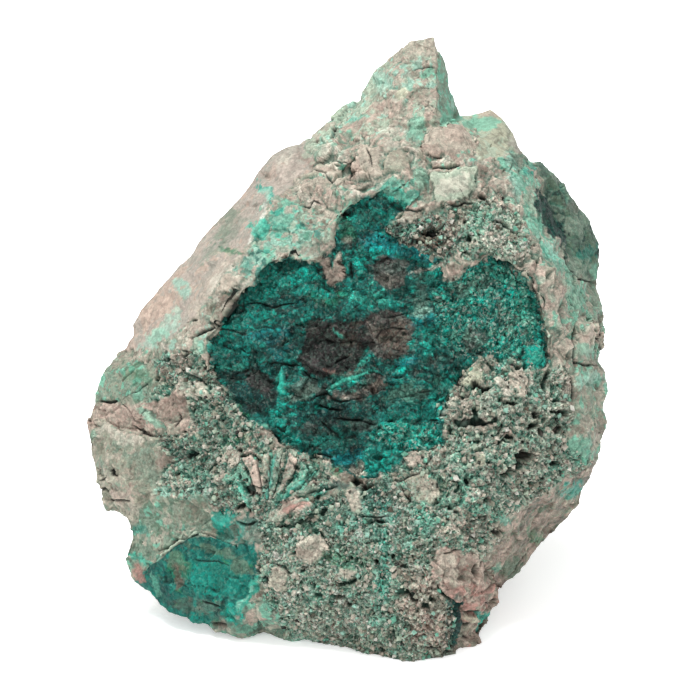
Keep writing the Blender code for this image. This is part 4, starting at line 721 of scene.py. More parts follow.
    ("beige", 0.5, 0.7, line(1, (25.6, 49.8), (26.8, 47), (27.2, 44))),
    # the undercut face
    ("turquoise", 0.65, 0.6, line(1.3, (26.4, 20.6), (27.8, 21.2), (28.8, 22.2))),
    ("fern", 0.55, 0.6, line(1.1, (21.6, 17.4), (22.8, 16), (23.8, 14.8))),
    ("moss", 0.7, 0.6, spot(20, 12, 1.4, 1.2, 20)), ("mint", 0.6, 0.5, spot(18.4, 11.7, 0.5, 0.6)),
    ("aqua", 0.5, 0.6, spot(19.2, 17.8, 1.2, 0.6, 10)), ("clay", 0.5, 0.8, spot(24.4, 17.6, 2.4, 0.7, 35)),
    ("blush", 0.4, 0.9, spot(20.6, 15, 1.8, 1, 40)), ("beige", 0.5, 0.8, spot(16, 13.6, 1.2, 1)),
    # the foot
    ("beige", 0.7, 0.5, spot(12.8, 11.6, 1.8, 1)),
    ("rose", 0.75, 0.4, area((11.6, 9.8), (14.2, 9.8), (14, 8.6), (13, 7.5), (12, 8.4))),
    ("clay", 0.6, 0.5, spot(12.6, 9.2, 0.9, 0.9)), ("rose", 0.55, 0.5, spot(15.4, 8.8, 1.2, 0.8)),
    ("rose", 0.7, 0.4, spot(15.2, 6.9, 1, 0.6)), ("umber", 0.5, 0.4, spot(14.8, 10.6, 1, 0.8)),
    ("olive", 0.7, 0.3, spot(15, 5.4, 0.9, 0.5)), ("pebble", 0.7, 0.3, spot(14.6, 3.8, 0.9, 0.5)),
    ("clay", 0.6, 0.4, spot(15.4, 2.6, 1.2, 0.5)),
    ("turquoise", 0.85, 0.4, area((15.8, 6), (17.2, 6.4), (17, 4.6), (16.2, 4))),
    ("aqua", 0.3, 0.4, spot(16.4, 5.2, 0.4, 0.8)),
    ("deep", 0.95, 0.35, area((11.9, 7.6), (12.9, 7.4), (13.7, 8), (13.9, 4.6), (13.4, 2), (12.1, 2),
     (11.9, 4.4))),
    ("ink", 0.8, 0.5, spot(12.8, 5.6, 0.8, 1.4)), ("sea", 0.6, 0.4, spot(13, 3, 0.5, 0.7)),
    ("umber", 0.5, 0.4, spot(10.6, 7.2, 1.2, 1.2)),
    # the peak and what is beside it
    ("beige", 0.8, 0.8, spot(9.2, 76.6, 1.6, 1.2)), ("pale mint", 0.7, 0.6, spot(8.2, 75, 0.8, 0.6, 30)),
    ("clay", 0.6, 0.5, line(0.8, (6.8, 73.4), (8, 73.6), (9.4, 72.8))),
    ("fern", 0.45, 0.6, spot(9.8, 73.3, 0.8, 0.6)), ("mint", 0.6, 0.6, spot(9.9, 73.2, 0.7, 0.5)),
    ("olive", 0.85, 0.3, spot(6.5, 70.8, 0.7, 0.8, 20)), ("clay", 0.55, 0.6, spot(8.6, 70.6, 1.4, 0.9)),
    ("cream", 0.8, 0.3, line(0.5, (5.6, 70.4), (6.4, 69.6), (7.2, 68.6))),
    ("pale mint", 0.6, 0.8, spot(4.2, 72.4, 1.2, 1.6, 30)), ("blush", 0.7, 0.7, spot(5, 69.2, 1.6, 0.8)),
    ("pebble", 0.4, 0.7, spot(2.6, 70.8, 1.2, 0.8)),
    ("blush", 0.6, 0.6, line(0.8, (1.2, 67), (2.6, 67.8), (4, 68.8))),
    ("aqua", 0.5, 0.7, spot(1.2, 67.8, 1, 0.4, 20)), ("mint", 0.7, 0.7, spot(8.4, 66.4, 1.3, 1.7)),
    ("mint", 0.6, 0.7, spot(12.2, 67.4, 1.2, 0.9)), ("cream", 0.5, 0.7, spot(5, 66.2, 1.6, 1)),
    ("rose", 0.3, 0.4, spot(-0.4, 66.3, 0.8, 0.5)), ("blush", 0.5, 0.5, spot(-0.4, 66.2, 0.9, 0.5)),
    ("mint", 0.75, 0.5, line(1.6, (14.4, 67.4), (16, 67), (17.4, 67.4), (18.2, 67))),
    ("blush", 0.6, 0.4, line(1, (15.8, 68.4), (17.4, 68.5), (18.6, 68))),
    ("umber", 0.5, 0.4, spot(19, 66, 0.5, 0.3)),
    ("flank cool", 0.8, 0.4, area((20.2, 66.4), (21.4, 64.8), (22.2, 63), (20.8, 63.6), (20, 64.6))),
    ("teal", 0.65, 0.5, spot(22.2, 61, 0.9, 0.7, -30)), ("slate", 0.6, 0.6, spot(20.8, 62.4, 1.2, 0.9)),
    ("pale mint", 0.7, 0.5, line(1.3, (19.4, 60.6), (20.6, 58.8), (20.9, 56.8))),
    ("mint", 0.6, 0.6, line(1.6, (22.2, 57.4), (22.8, 55), (23.8, 52.8))),
    ("aqua", 0.4, 0.5, line(0.8, (24.4, 51.4), (25.6, 49.8), (26.6, 48.6))),
    ("blush", 0.5, 0.6, line(0.7, (19.2, 59.8), (20, 58.2), (21.8, 55))),
    ("pebble", 0.6, 0.6, line(1, (22.6, 59.6), (23, 57.4), (23.4, 55.6))),
    # the dark flank, with a streak of painted shadow down its hollow
    # A painted shadow down the hollow of the dark flank, in ink.
    ("ink", 0.95, 0.6, line(1.9, (23.6, 58.6), (24.4, 57), (25.4, 55.6), (26.2, 53.8), (26.6, 52))),
    ("teal", 0.55, 0.6, spot(29.6, 51.2, 0.9, 1)), ("ink", 0.5, 0.6, spot(29, 52, 0.4, 0.9)),
    ("sage", 0.7, 0.8, spot(28.6, 49.4, 1.6, 1.2)), ("ash", 0.5, 0.7, spot(28, 57, 1, 1, -40)),
    ("sage", 0.5, 0.8, spot(29.4, 55.2, 0.9, 1.6, -20)),
    ("mint", 0.5, 0.6, line(0.8, (30.4, 49.6), (31, 47.4))),
    ("umber", 0.5, 0.5, line(0.8, (31, 46.6), (30.4, 47.6))),
)

# Cracks and crevices, each with a line of painted shade down it: depth and width, and the run of points.
CREVICES = (
    (0.7, 0.4, (10, 61.3), (10.6, 61.6), (12, 61.8), (13.4, 62.1), (14, 62.3)),
    (0.8, 0.5, (-8.6, 50.4), (-8, 50.6), (-7.2, 50.2), (-6, 50.2)),
    (1, 0.7, (-9, 50.2), (-10.2, 49.4), (-11, 48.6), (-12, 47.6)),
    (1.2, 0.8, (-12.2, 46.8), (-13.4, 45.9), (-14.4, 45.2), (-15.4, 43.6), (-15.9, 42.6)),
    (1, 0.7, (-15.9, 42.5), (-16.4, 42), (-17.6, 41.6), (-18.6, 41.2), (-19.8, 40.4)),
    (0.5, 0.5, (-18, 42.5), (-17.2, 42.2), (-16.4, 42.1)), (0.4, 0.3, (-20, 42.7), (-19.2, 42.6)),
    (0.5, 0.4, (-11, 37.2), (-10.4, 37.4), (-9.6, 37)),
    (0.9, 0.5, (-10.4, 37.1), (-9.4, 37.3), (-8, 37.2), (-7, 37.2), (-6.2, 37.1)),
    (0.7, 0.4, (-6.2, 36.6), (-5.6, 36), (-5, 35.5), (-4.2, 35.2)),
    (0.8, 0.5, (-2, 37), (-1.4, 37.5), (-0.8, 37.8), (-0.1, 38)),
    (0.4, 0.3, (-3.2, 37), (-2.6, 36.7), (-2, 36.9)), (0.6, 0.3, (-4.6, 39.8), (-3, 40.1), (-1.4, 39.9)),
    (0.9, 0.5, (-6.2, 32.5), (-5, 32.6), (-4, 33.2), (-2.9, 33.6), (-2.2, 32.9), (-1.2, 32.4), (0.2, 32.7),
     (1.8, 33)),
    (0.9, 0.5, (-4.4, 32.2), (-3, 31.6), (-1.6, 31.4), (-0.8, 31.4)),
    (0.9, 0.5, (-2, 30.4), (-0.4, 30.2), (1.6, 30), (3.2, 29.6)),
    (0.5, 0.3, (3.2, 29.5), (4.4, 28.8), (5.2, 28.2), (6.2, 27.4)),
    (0.5, 0.3, (2, 36.2), (3.4, 36), (4.4, 35.4)),
    (0.4, 0.3, (3.2, 43.4), (4.4, 43), (6, 43.2), (7.6, 43.6)),
    (0.4, 0.3, (3, 40), (4, 41.4), (5.4, 41.7), (7.4, 41.4)),
    (0.6, 0.4, (-13, 44.6), (-11.4, 44.8), (-9.6, 44.2), (-8.2, 44.6), (-6.4, 44.8)),
    (0.5, 0.4, (-16.6, 41.6), (-14.8, 41.4), (-13.2, 40.8)),
    (0.4, 0.3, (-11.4, 41.6), (-10.4, 41.8), (-9.4, 41.5)),
    (0.5, 0.3, (-14, 39.2), (-12.8, 38.6), (-11.6, 38.6)),
    (0.7, 0.5, (-9.8, 28.4), (-8.6, 27.2), (-7.8, 26.6), (-6.8, 26.2)),
    (0.6, 0.4, (-4.4, 26), (-3, 25.8), (-2.2, 25.4)), (0.6, 0.4, (-3.6, 30), (-2.4, 29), (-1.4, 28.4)),
    (0.6, 0.4, (12.2, 31.8), (11.6, 30.8), (10.8, 30.2), (9.6, 30.2)),
    (0.8, 0.5, (14.2, 34.4), (13.4, 34.6), (13.8, 35.6), (14.6, 36.4), (15.4, 37.2)),
    (0.6, 0.4, (12.6, 33.4), (12.2, 32.4), (11.8, 31.4)),
    (0.9, 0.6, (18, 50.2), (19.6, 49.8), (21, 48.8), (22.2, 47.6), (23.4, 45.8), (24, 44.2)),
    (0.6, 0.4, (24.1, 42.6), (24.3, 41.8)), (0.8, 0.6, (19.6, 37.4), (20.6, 37), (21.4, 36.6), (22, 36.1)),
    (0.4, 0.4, (21, 38.4), (21.6, 37.6), (22.2, 36.6)),
    (0.5, 0.3, (4.2, 53.8), (5.4, 53.2), (7.2, 52.4), (8.8, 52)),
    (0.6, 0.5, (7, 52.9), (8.6, 52.4), (10, 51.8), (11.6, 50.6)),
    (0.6, 0.4, (0.2, 56.4), (-0.6, 55.9), (-1.6, 55.4)),
    (0.5, 0.4, (-3.4, 47.6), (-3.2, 46.6), (-2.4, 46.2)), (0.6, 0.5, (0.1, 50.2), (0.1, 49), (0.3, 47.6)),
    (0.7, 0.5, (-3, 60.6), (-2.2, 60.1), (-1.4, 60.6), (-0.8, 60.8)),
    (0.6, 0.5, (-4.8, 61.3), (-3.6, 60.9), (-2.8, 60.8)),
    (0.6, 0.4, (0.2, 62.2), (0.3, 61.2), (-0.1, 60.2)),
    (0.4, 0.3, (-1.8, 62.6), (-1.2, 62.3), (-0.6, 62.4)), (0.5, 0.3, (2, 64.2), (2.6, 63), (3, 61.6)),
    (0.4, 0.4, (-6.2, 57), (-5, 56.6), (-4.6, 57.6), (-3.4, 57)),
    (0.5, 0.5, (12.2, 57), (13.4, 56.8), (14.6, 57.4), (15.6, 57.4)),
    (0.8, 0.7, (16, 58.3), (16.8, 58), (17.4, 57.2), (17.8, 57)),
    (0.8, 0.6, (18, 55.2), (19, 54.9), (20, 53.9), (20.8, 53.2)),
    (0.5, 0.5, (5.6, 56.5), (7, 56.6), (8.4, 56.2), (9.2, 56.6)),
    (0.6, 0.3, (9.8, 63.2), (10.4, 62.9), (11.6, 63)), (0.3, 0.3, (7.8, 73.8), (8.8, 74.2), (10.4, 74.2)),
    (0.6, 0.5, (26.8, 50.6), (27.6, 49), (28.6, 47.8), (30.4, 47.4)),
    (0.4, 0.4, (28, 42), (27.8, 39.8), (28.2, 37.4), (29.6, 37), (31, 37)),
    (0.7, 0.5, (27.6, 36), (27.9, 34.2), (28.2, 32.6)), (0.5, 0.4, (30.6, 41.2), (30.8, 39.8), (31, 38.4)),
    (0.7, 0.5, (-31.2, 32.5), (-30.2, 32.4), (-29.2, 32.5)),
    (0.7, 0.5, (-27, 29.4), (-25.8, 28.7), (-24.6, 28.3), (-23.6, 28.1)),
    (0.5, 0.4, (-21.6, 31.2), (-21.3, 30.2), (-21.8, 29.2)),
    (0.5, 0.4, (-30.2, 20.2), (-28.6, 20.1), (-27.4, 20)),
    (0.6, 0.5, (-31.2, 22.6), (-30.6, 22.8), (-30.4, 23.3)),
    (0.7, 0.6, (-31.2, 21.4), (-30.6, 21.6), (-30.1, 21)),
    (0.9, 0.6, (-17.4, 23.4), (-16.8, 24.6), (-16.4, 25.6)),
    (0.6, 0.5, (-21, 38.9), (-20.2, 38.6), (-20.1, 37.4), (-19.9, 36.6)),
    (0.6, 0.5, (-20.4, 36), (-19.4, 35.6), (-18.4, 35.1), (-17.6, 34.2)),
    (0.6, 0.4, (-17.4, 38.8), (-17.5, 37.8), (-17.6, 36.8)),
    (0.5, 0.4, (-22.6, 25), (-22, 24.6), (-21.2, 25.2)),
    (0.9, 0.4, (-24.2, 13.7), (-22.9, 14.3), (-22.2, 15), (-21.8, 15.3), (-20.8, 15.3), (-20, 16),
     (-19.4, 16.3)),
    (0.9, 0.4, (-19, 16.3), (-18.2, 16), (-17.2, 15.8), (-16.2, 15.4), (-15.4, 14.9), (-14.4, 14.6),
     (-14.2, 14)),
    (0.3, 0.3, (-19.6, 12.7), (-18.4, 12.5), (-16.6, 12.5), (-15.2, 12)),
    (0.4, 0.4, (-18.4, 7.5), (-17.2, 7.2), (-15.8, 6.8)),
    (0.6, 0.4, (-17.4, 4.6), (-16.4, 4.5), (-15.4, 4.3)),
    (0.8, 0.5, (-14.2, 17.4), (-13.2, 17), (-12.4, 17.1), (-11.6, 17.6)),
    (1.2, 1, (-8.8, 16.6), (-7.4, 17), (-6, 17.4), (-5, 18.2), (-4.2, 18.4)),
    (0.6, 0.4, (-5.2, 16.5), (-4.2, 16.3), (-3.6, 16), (-3, 15), (-2.4, 13.8)),
    (0.6, 0.4, (-10.6, 12.1), (-9.4, 12.2), (-8.2, 11.8), (-7.6, 11), (-6.8, 10.9)),
    (0.6, 0.5, (-11.2, 12.2), (-11.6, 11.4), (-11.2, 10.8)),
    (0.8, 0.6, (-5.4, 20.9), (-4.4, 21.4), (-3, 21.5), (-1.6, 21.9)),
    (0.4, 0.35, (-11, 20.2), (-12.2, 22.5), (-13.5, 25)),
    (0.4, 0.35, (-10.7, 20.3), (-11.1, 23), (-11.7, 25.9)),
    (0.4, 0.35, (-10.2, 20.2), (-10, 23.2), (-10, 26.4)),
    (0.4, 0.35, (-9.7, 20.2), (-8.9, 22.9), (-8.1, 26.3)),
    (0.4, 0.35, (-9.3, 19.9), (-7.6, 22.3), (-6.1, 25.2)),
    (0.4, 0.35, (-8.9, 19.5), (-6.2, 21.5), (-4.4, 23.9)),
    (0.3, 0.3, (-12.4, 22.4), (-10.6, 21.6), (-9.2, 22.3)),
    (0.3, 0.3, (-7.6, 25.2), (-6.8, 24), (-5.6, 23.9)),
    (0.7, 0.5, (6.2, 22.2), (6.8, 21), (7.4, 20.2), (8, 19.6)),
    (0.7, 0.5, (5.2, 22.6), (6.4, 22.6), (8, 23.2), (9.4, 23.6)),
    (0.6, 0.4, (11.4, 13.5), (12.2, 13.5), (13, 13.8), (14.2, 14)),
    (0.6, 0.4, (15, 17.3), (16.2, 17.8), (17.2, 18.2)), (0.5, 0.4, (15.8, 21.8), (17, 22), (18.2, 22.3)),
    (0.5, 0.5, (12, 18.9), (13, 19.3), (14, 19.6)), (1.4, 0.8, (15.9, 12.4), (15.8, 11.6), (15.6, 10.6)),
    (1.6, 0.6, (14.2, 8.1), (13.8, 7.9), (13.2, 7.4), (12.6, 7.6), (11.6, 8.4), (10.8, 9.6)),
    (0.5, 0.4, (14, 6), (15, 6), (16.2, 6.3)), (0.6, 0.5, (13.9, 4.5), (14.6, 4.3), (15.2, 4.6)),
    (0.5, 0.4, (14, 3.1), (15, 3)), (0.5, 0.4, (16.6, 7), (17.4, 7.4), (17.8, 8)),
    (0.6, 0.5, (9.2, 1.8), (10.6, 1.6), (12, 2), (12.6, 2)),
    (0.8, 0.5, (0.8, 18.2), (2.4, 18.2), (3.8, 18), (5, 18.2)),
    (0.4, 0.3, (20, 10.6), (21, 12.2), (22, 13.4)),
)

# Pits and large pores, with painted shade in them: depth in millimetres, and shape.
PITS = (
    (1, spot(-1.8, 66.2, 0.5, 0.35, 30)), (2, spot(21.8, 25.4, 1.1, 0.8, 10)),
    (1.4, spot(21, 24.9, 0.6, 0.6)), (1.2, spot(19.8, 24, 0.9, 0.4, 20)), (1.2, spot(23.2, 30.7, 0.5, 0.6)),
    (1.2, spot(26.2, 28.8, 0.9, 0.45, 25)), (1.2, spot(23, 29.2, 0.6, 0.5)),
    (0.9, spot(19.8, 32.1, 0.8, 0.25, 5)), (0.9, spot(26.4, 30.7, 1, 0.35, 10)),
    (0.9, spot(20.4, 27.9, 0.9, 0.35)), (0.9, spot(18.9, 29.2, 0.35, 0.6)),
    (0.9, spot(24.4, 35, 0.35, 0.9)), (0.8, spot(16.6, 34, 1.4, 0.3, 5)), (0.8, spot(25.6, 32.2, 0.7, 0.3)),
    (1.3, spot(-1.6, 8, 0.7, 0.4, 15)), (0.9, spot(-0.2, 9.8, 1.4, 0.3, 10)),
    (0.9, spot(5.4, 3.4, 0.5, 0.4)), (0.5, spot(-29.6, 23.5, 0.45, 0.3)),
    (0.7, spot(-20.1, 38.6, 0.4, 0.5)), (0.9, spot(2.6, 21.8, 0.9, 0.4, 10)),
    (0.9, spot(3.4, 17.7, 0.7, 0.3)), (0.8, spot(-3.4, 18.2, 0.5, 0.35)), (0.8, spot(7, 12.2, 0.5, 0.3)),
    (0.8, spot(10, 7.6, 0.4, 0.3)), (0.9, spot(17.4, 20.2, 0.6, 0.25, 20)),
    (0.9, spot(14.6, 22.4, 0.4, 0.3)), (0.8, spot(15.4, 15.6, 0.8, 0.25, 10)),
    (0.8, spot(18.2, 16.2, 0.5, 0.25, 20)), (1, spot(1, 22.8, 0.9, 0.35)), (0.9, spot(14.8, 53, 0.5, 0.5)),
    (0.9, spot(10.2, 54, 0.7, 0.4, 10)), (0.7, spot(5.6, 29.9, 0.5, 0.2)),
    (0.9, spot(-20.6, 25.8, 0.4, 0.5)), (0.8, spot(-21.6, 21, 0.3, 0.4)), (0.9, spot(4.4, 52.9, 0.5, 0.2)),
    (0.8, spot(-13.8, 19.2, 0.4, 0.5)),
)

# The flat splinters of the fan under the hollow: colour, height in millimetres, and outline.
FAN = (
    ("mint", 0.5, area((-11, 19.6), (-13.2, 22.4), (-14.9, 23.9), (-13.7, 24.7), (-12.2, 22.2))),
    ("blush", 0.8, area((-10.8, 20), (-12, 22.8), (-13.2, 25.2), (-11.9, 25.7), (-11.2, 23))),
    ("pebble", 0.5, area((-10.5, 20.2), (-10.9, 23.2), (-11.6, 25.9), (-10.2, 26.2), (-10.1, 23))),
    ("sage", 0.8, area((-10, 20), (-9.9, 23.4), (-9.8, 26.4), (-8.3, 26.4), (-9, 23))),
    ("blush", 0.5, area((-9.6, 19.9), (-8.7, 22.8), (-7.9, 26), (-6.4, 25.4), (-7.8, 22.4))),
    ("mint", 0.9, area((-9.2, 19.6), (-7.4, 22.2), (-5.9, 24.9), (-4.6, 24.2), (-6.4, 21.6))),
    ("clay", 0.6, area((-8.8, 19.2), (-6, 21.4), (-4.2, 23.6), (-2.8, 22.6), (-5.4, 20.6))),
)

# Blocks and chips that stand proud: height and width of the sloping border in millimetres, and outline.
BLOCKS = (
    (0.9, 0.5, area((-5.4, 60), (-3, 60.4), (-1, 61), (-1.6, 62.4), (-4, 62))),
    (0.8, 0.5, area((1, 60.2), (3.8, 60.6), (3.6, 63.8), (1.2, 64.2), (0.6, 62))),
    (0.7, 0.4, area((-0.6, 59.6), (-0.4, 57.8), (1.6, 57.8), (1.4, 58.8))),
    (0.8, 0.4, area((4.2, 61), (7.4, 60.6), (7.6, 63.2), (5, 64.2))),
    (0.5, 0.8, area((9.8, 62.8), (15.4, 63), (15.8, 65.6), (12.8, 67), (9.8, 65.4))),
    (0.6, 0.3, area((10.2, 60.9), (12.4, 61.3), (15.6, 61.9), (15.4, 59.6), (14.6, 58), (12.4, 57.4),
     (10.4, 57.6))),
    (0.8, 0.35, OLIVE_BLOCK),
    (0.7, 0.25, CREAM_BLOCK),
    (0.8, 0.3, BEIGE_BLOCK),
    (0.9, 0.5, PEBBLE_BLOCK),
    (0.7, 0.4, area((7, 25), (8.4, 25.6), (10, 25.2), (9.4, 24.4), (7.4, 24.2))),
    (0.6, 0.3, area((15.6, 25.8), (17, 25.8), (17.2, 24.2), (15.8, 24))),
    (0.8, 0.5, area((-7, 12.8), (-6.4, 15.6), (-4, 16.2), (-2.6, 13.8), (-4, 12.4))),
    (0.8, 0.4, area((-8.8, 17.8), (-7.6, 19.6), (-5.6, 20.2), (-4.8, 19), (-6.6, 18.4))),
    (0.7, 0.3, area((-12.4, 20.6), (-12.2, 24), (-11.4, 24.4), (-10.8, 22), (-11.6, 20.4))),
    (0.7, 0.4, area((-10.2, 9.8), (-9.8, 11.8), (-8.4, 12), (-7.6, 10.8), (-8.2, 8.9), (-9.2, 8.9))),
    (0.6, 0.4, area((-2.2, 10.4), (-1.8, 11.8), (0.2, 12), (0.6, 10.6), (-0.6, 10))),
    (0.6, 0.4, area((0, 19.2), (-0.2, 21.6), (1.4, 21.9), (2, 20), (1.2, 19))),
    (0.7, 0.4, area((-21.4, 33.4), (-21.2, 35.6), (-19.8, 35.2), (-18, 34.4), (-17.8, 33.2))),
    (0.6, 0.4, area((-15.6, 26.4), (-13.6, 26.8), (-13.4, 24.8), (-15.2, 24.2))),
    (0.6, 0.4, area((-17, 23.4), (-14.2, 23.8), (-14, 22.6), (-16.8, 22.6))),
    (0.5, 0.5, area((-3.4, 50.6), (-2.6, 48.8), (-1.4, 50.8), (-0.4, 48.6), (-0.6, 47), (-3.2, 47.4))),
    (0.6, 0.5, area((21.2, 37.4), (21.4, 39.4), (24.2, 39.2), (24.4, 37.2), (22.8, 36.4))),
    (0.7, 1.1, area((28.3, 41.6), (29.6, 42), (30.5, 40.8), (30.9, 38.4), (30.6, 37.2), (28.4, 37.6))),
    (0.8, 0.4, area((11.6, 10.6), (14.2, 10.2), (14, 8.8), (13.1, 7.6), (12, 8.6))),
    (0.6, 0.3, area((14.2, 6.2), (16, 6.4), (16, 7.6), (14.4, 7.6))),
    (0.6, 0.3, area((14.1, 4.8), (15.9, 4.8), (15.9, 5.8), (14.2, 5.8))),
    (0.5, 0.3, area((5.9, 70.2), (7.2, 70.4), (7.2, 71.4), (6, 71.4))),
    (0.6, 0.4, area((-16.8, 46.2), (-15.6, 48.4), (-13.6, 48), (-14.2, 46.4), (-15.6, 45.8))),
)

# Thin needles, bars and edges that stand out of the skin: height and width in millimetres, colour, and the
# run of points.
RIDGES = (
    # the fan under the hollow
    (0.2, 0.6, "turquoise", (-10.3, 19.6), (-9.9, 24.2), (-9.2, 26.2)),
    (0.2, 0.5, "turquoise", (-9.3, 19.1), (-6.6, 21.8), (-3.6, 24.2)),
    (0.2, 0.7, "aqua", (-12.7, 19), (-14, 22.4)),
    (0.2, 0.5, "aqua", (-8.8, 18.6), (-5.4, 20.2), (-2, 21.8)),
    (0.4, 1.6, "blush", (-10.2, 17.4), (-8, 19), (-5.8, 20.2)),
    (0.3, 0.8, "rose", (-8.2, 18.6), (-6.4, 19.4)),
    # the bars across the middle of the hollow
    (0.1, 1, "turquoise", (-8.7, 33.2), (-8.5, 36.8)),
    (0.1, 0.5, "aqua", (-3, 34), (-0.6, 35.2), (3.2, 36.4)),
    # the edge over the lobe, pale along its top as a painted highlight
    (0.15, 0.45, "lichen", *LOBE_EDGE),
)


# ---------------------------------------------------------------- the skin
def linear(name):
    """A named colour as light, by the sRGB curve, and as bright as the stone's are."""
    c = np.asarray(COLOURS[name], float) / 255.0
    return TONE * np.where(c <= 0.04045, c / 12.92, ((c + 0.055) / 1.055) ** 2.4)


def read_solid():
    """The solid's corners in millimetres from the foremost foot, and its triangles, with the seams between
    them closed."""
    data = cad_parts[NODE].data
    data.calc_loop_triangles()
    corners = np.empty(len(data.vertices) * 3)
    data.vertices.foreach_get("co", corners)
    corners = corners.reshape(-1, 3) / MM
    triangles = np.empty(len(data.loop_triangles) * 3, np.int32)
    data.loop_triangles.foreach_get("vertices", triangles)
    _, first, same = np.unique(np.round(corners, 3), axis=0, return_index=True, return_inverse=True)
    faces = same.reshape(-1)[triangles].reshape(-1, 3)
    whole = (faces[:, 0] != faces[:, 1]) & (faces[:, 1] != faces[:, 2]) & (faces[:, 2] != faces[:, 0])
    return corners[first] + BOX_MIDDLE, faces[whole]


def hiddenness(places, tree):
    """From 0 where the viewer sees a place, to 1 where there is much stone in front of it."""
    start = Vector(eye())
    depth = np.zeros(len(places))
    for i, place in enumerate(places):
        ray = Vector(place) - start
        reach = ray.length
        hit = tree.ray_cast(start, ray / reach, reach)
        if hit[0] is not None:
            depth[i] = reach - hit[3]
    return smooth((depth - HIDDEN_FROM) / (HIDDEN_AT - HIDDEN_FROM))


def split_long_sides(places, carried, faces):
    """Cuts each triangle side that is too long in two. carried holds what each place has: its hiddenness,
    and how far it stands out from large flat faces and from small ones."""
    sides = np.sort(faces[:, ((0, 1), (1, 2), (2, 0))], axis=2).astype(np.int64)
    keys, index = np.unique(sides[..., 0] * len(places) + sides[..., 1], return_inverse=True)
    index = index.reshape(-1, 3)
    ends = np.stack([keys // len(places), keys % len(places)], axis=1)
    length = np.linalg.norm(places[ends[:, 0]] - places[ends[:, 1]], axis=1)
    share = carried[ends][:, :, 0].mean(axis=1)
    flat = places[ends][:, :, 2].max(axis=1) < ON_FLOOR
    limit = np.where(flat, UNDER_SIDE, SHOW_SIDE + (BACK_SIDE - SHOW_SIDE) * share)
    long = length > limit
    number = np.full(len(keys), -1)
    number[long] = len(places) + np.arange(long.sum())
    middle = number[index]
    count = (middle >= 0).sum(axis=1)
    made = [faces[count == 0]]
    a, b, c = faces.T
    ab, bc, ca = middle.T

    def add(which, *corners):
        made.append(np.stack([corner[which] for corner in corners], axis=1))

    add(count == 3, a, ab, ca)
    add(count == 3, ab, b, bc)
    add(count == 3, ca, bc, c)
    add(count == 3, ab, bc, ca)
    for a, b, c, ab, bc, ca in ((a, b, c, ab, bc, ca), (b, c, a, bc, ca, ab), (c, a, b, ca, ab, bc)):
        only_ab = (count == 1) & (ab >= 0)
        add(only_ab, a, ab, c)
        add(only_ab, ab, b, c)
        all_but_ab = (count == 2) & (ab < 0)
        add(all_but_ab, ca, bc, c)
        add(all_but_ab, a, b, bc)
        add(all_but_ab, a, bc, ca)
    new_places = places[ends[long]].mean(axis=1)
    new_carried = carried[ends[long]].mean(axis=1)
    new_carried[:, 2] += JAG * (scramble(own_cells(new_places), 7) - 0.5) * length[long]
    places = np.concatenate([places, new_places])
    carried = np.concatenate([carried, new_carried])
    return places, carried, np.concatenate(made)


def normals_of(places, faces):
    """The way that the skin faces at each place."""
    across = places[faces[:, 1]] - places[faces[:, 0]]
    along = places[faces[:, 2]] - places[faces[:, 0]]
    flat = np.cross(across, along)
    total = np.stack(
        [sum(np.bincount(faces[:, i], flat[:, axis], len(places)) for i in range(3)) for axis in range(3)],
        axis=1,
    )
    return total / np.linalg.norm(total, axis=1)[:, None]


def neighbour_mean(values, faces):
    """Each value replaced by the mean of its triangles' values."""
    total, count = np.zeros(len(values)), np.zeros(len(values))
    face_mean = values[faces].mean(axis=1)
    for i in range(3):
        total += np.bincount(faces[:, i], face_mean, len(values))
        count += np.bincount(faces[:, i], minlength=len(values))
    return total / np.maximum(count, 1)


# How far the shapes' borders wander and the shards' borders bend, each with the size of its waves, and the
# size of the finest grain, in millimetres. Shards that lie drawn out are counted in places that are
# squeezed so.
WANDER, WANDER_SIZE = 1.1, 2.6
BEND, BEND_SIZE = 0.22, 2.2
FINE_SIZE, FINE_HEIGHT = 0.4, 0.06
SQUEEZE = (0.75, 1.0, 1.0)

# A shape's border, as shares of its softness: how far past its edge it can reach, how ragged it is, and how
# much of it is left as blur beside the least blur, in millimetres.
BORDER_REACH, BORDER_RAGGED, BORDER_BLUR = 1.5, 0.8, 0.35
LEAST_BLUR = 0.1

# The share of places that have their colour from the coarsest shards, the shares that have it from those or
# the next finer ones, and how much of the difference between the colours of a patchwork is kept.
MOTTLE_STEPS = (0.3, 0.62, 0.85)
MOTTLE_STRENGTH = 0.75

# A stain's own colour at its dullest, and how much the ground's grain brightens it.
STAIN_DULLEST, STAIN_GRAIN = 0.8, 0.4
# How many chrysocolla grains and pale specks are left in a stain of a plain colour.
PLAIN_GRIT = 0.1

# What lies on the faces that the viewer can't see: the size of the patches in millimetres, how crisp and
# how rare they are, how strong, their colours with their shares, and the salts of their places and their
# colours.
BACK_PATCHES = (
    (8.0, 2.0, 0.5, 0.7, (("clay", 50), ("umber", 20), ("blush", 30)), 320, 332),
    (11.0, 2.2, 0.35, 0.8, (("mint", 30), ("sage", 40), ("aqua", 10), ("moss", 20)), 310, 330),
)
# The veins there: the size of their turns, how thin and how strong they are, and their colours.
VEIN_SIZE, VEIN_THINNESS, VEIN_STRENGTH = 15.0, 9.0, 0.85
VEIN_COLOURS = (("teal", 40), ("sea", 35), ("turquoise", 25))

# Cracks between the coarsest shards and between the next: their depth in millimetres, and their width as a
# share of the shards' size.
CRACKS = ((0.25, 0.05), (0.2, 0.07))
# Pores, large and small: their size and depth in millimetres, and their salt.
PORES = ((1.3, 0.6, 410), (0.6, 0.4, 420))
# The noise that pores begin at, and over how much more of it they reach their depth.
PORE_LEVEL, PORE_EDGE = 0.6, 0.1
# Ground is porous where it has more pores than this.
POROUS = 0.02
# How much painted shade darkens cracks between shards, grooves beside ridges, and all other cuts.
CRACK_SHADE, GROOVE_SHADE, CUT_SHADE = 0.75, 0.9, 0.95

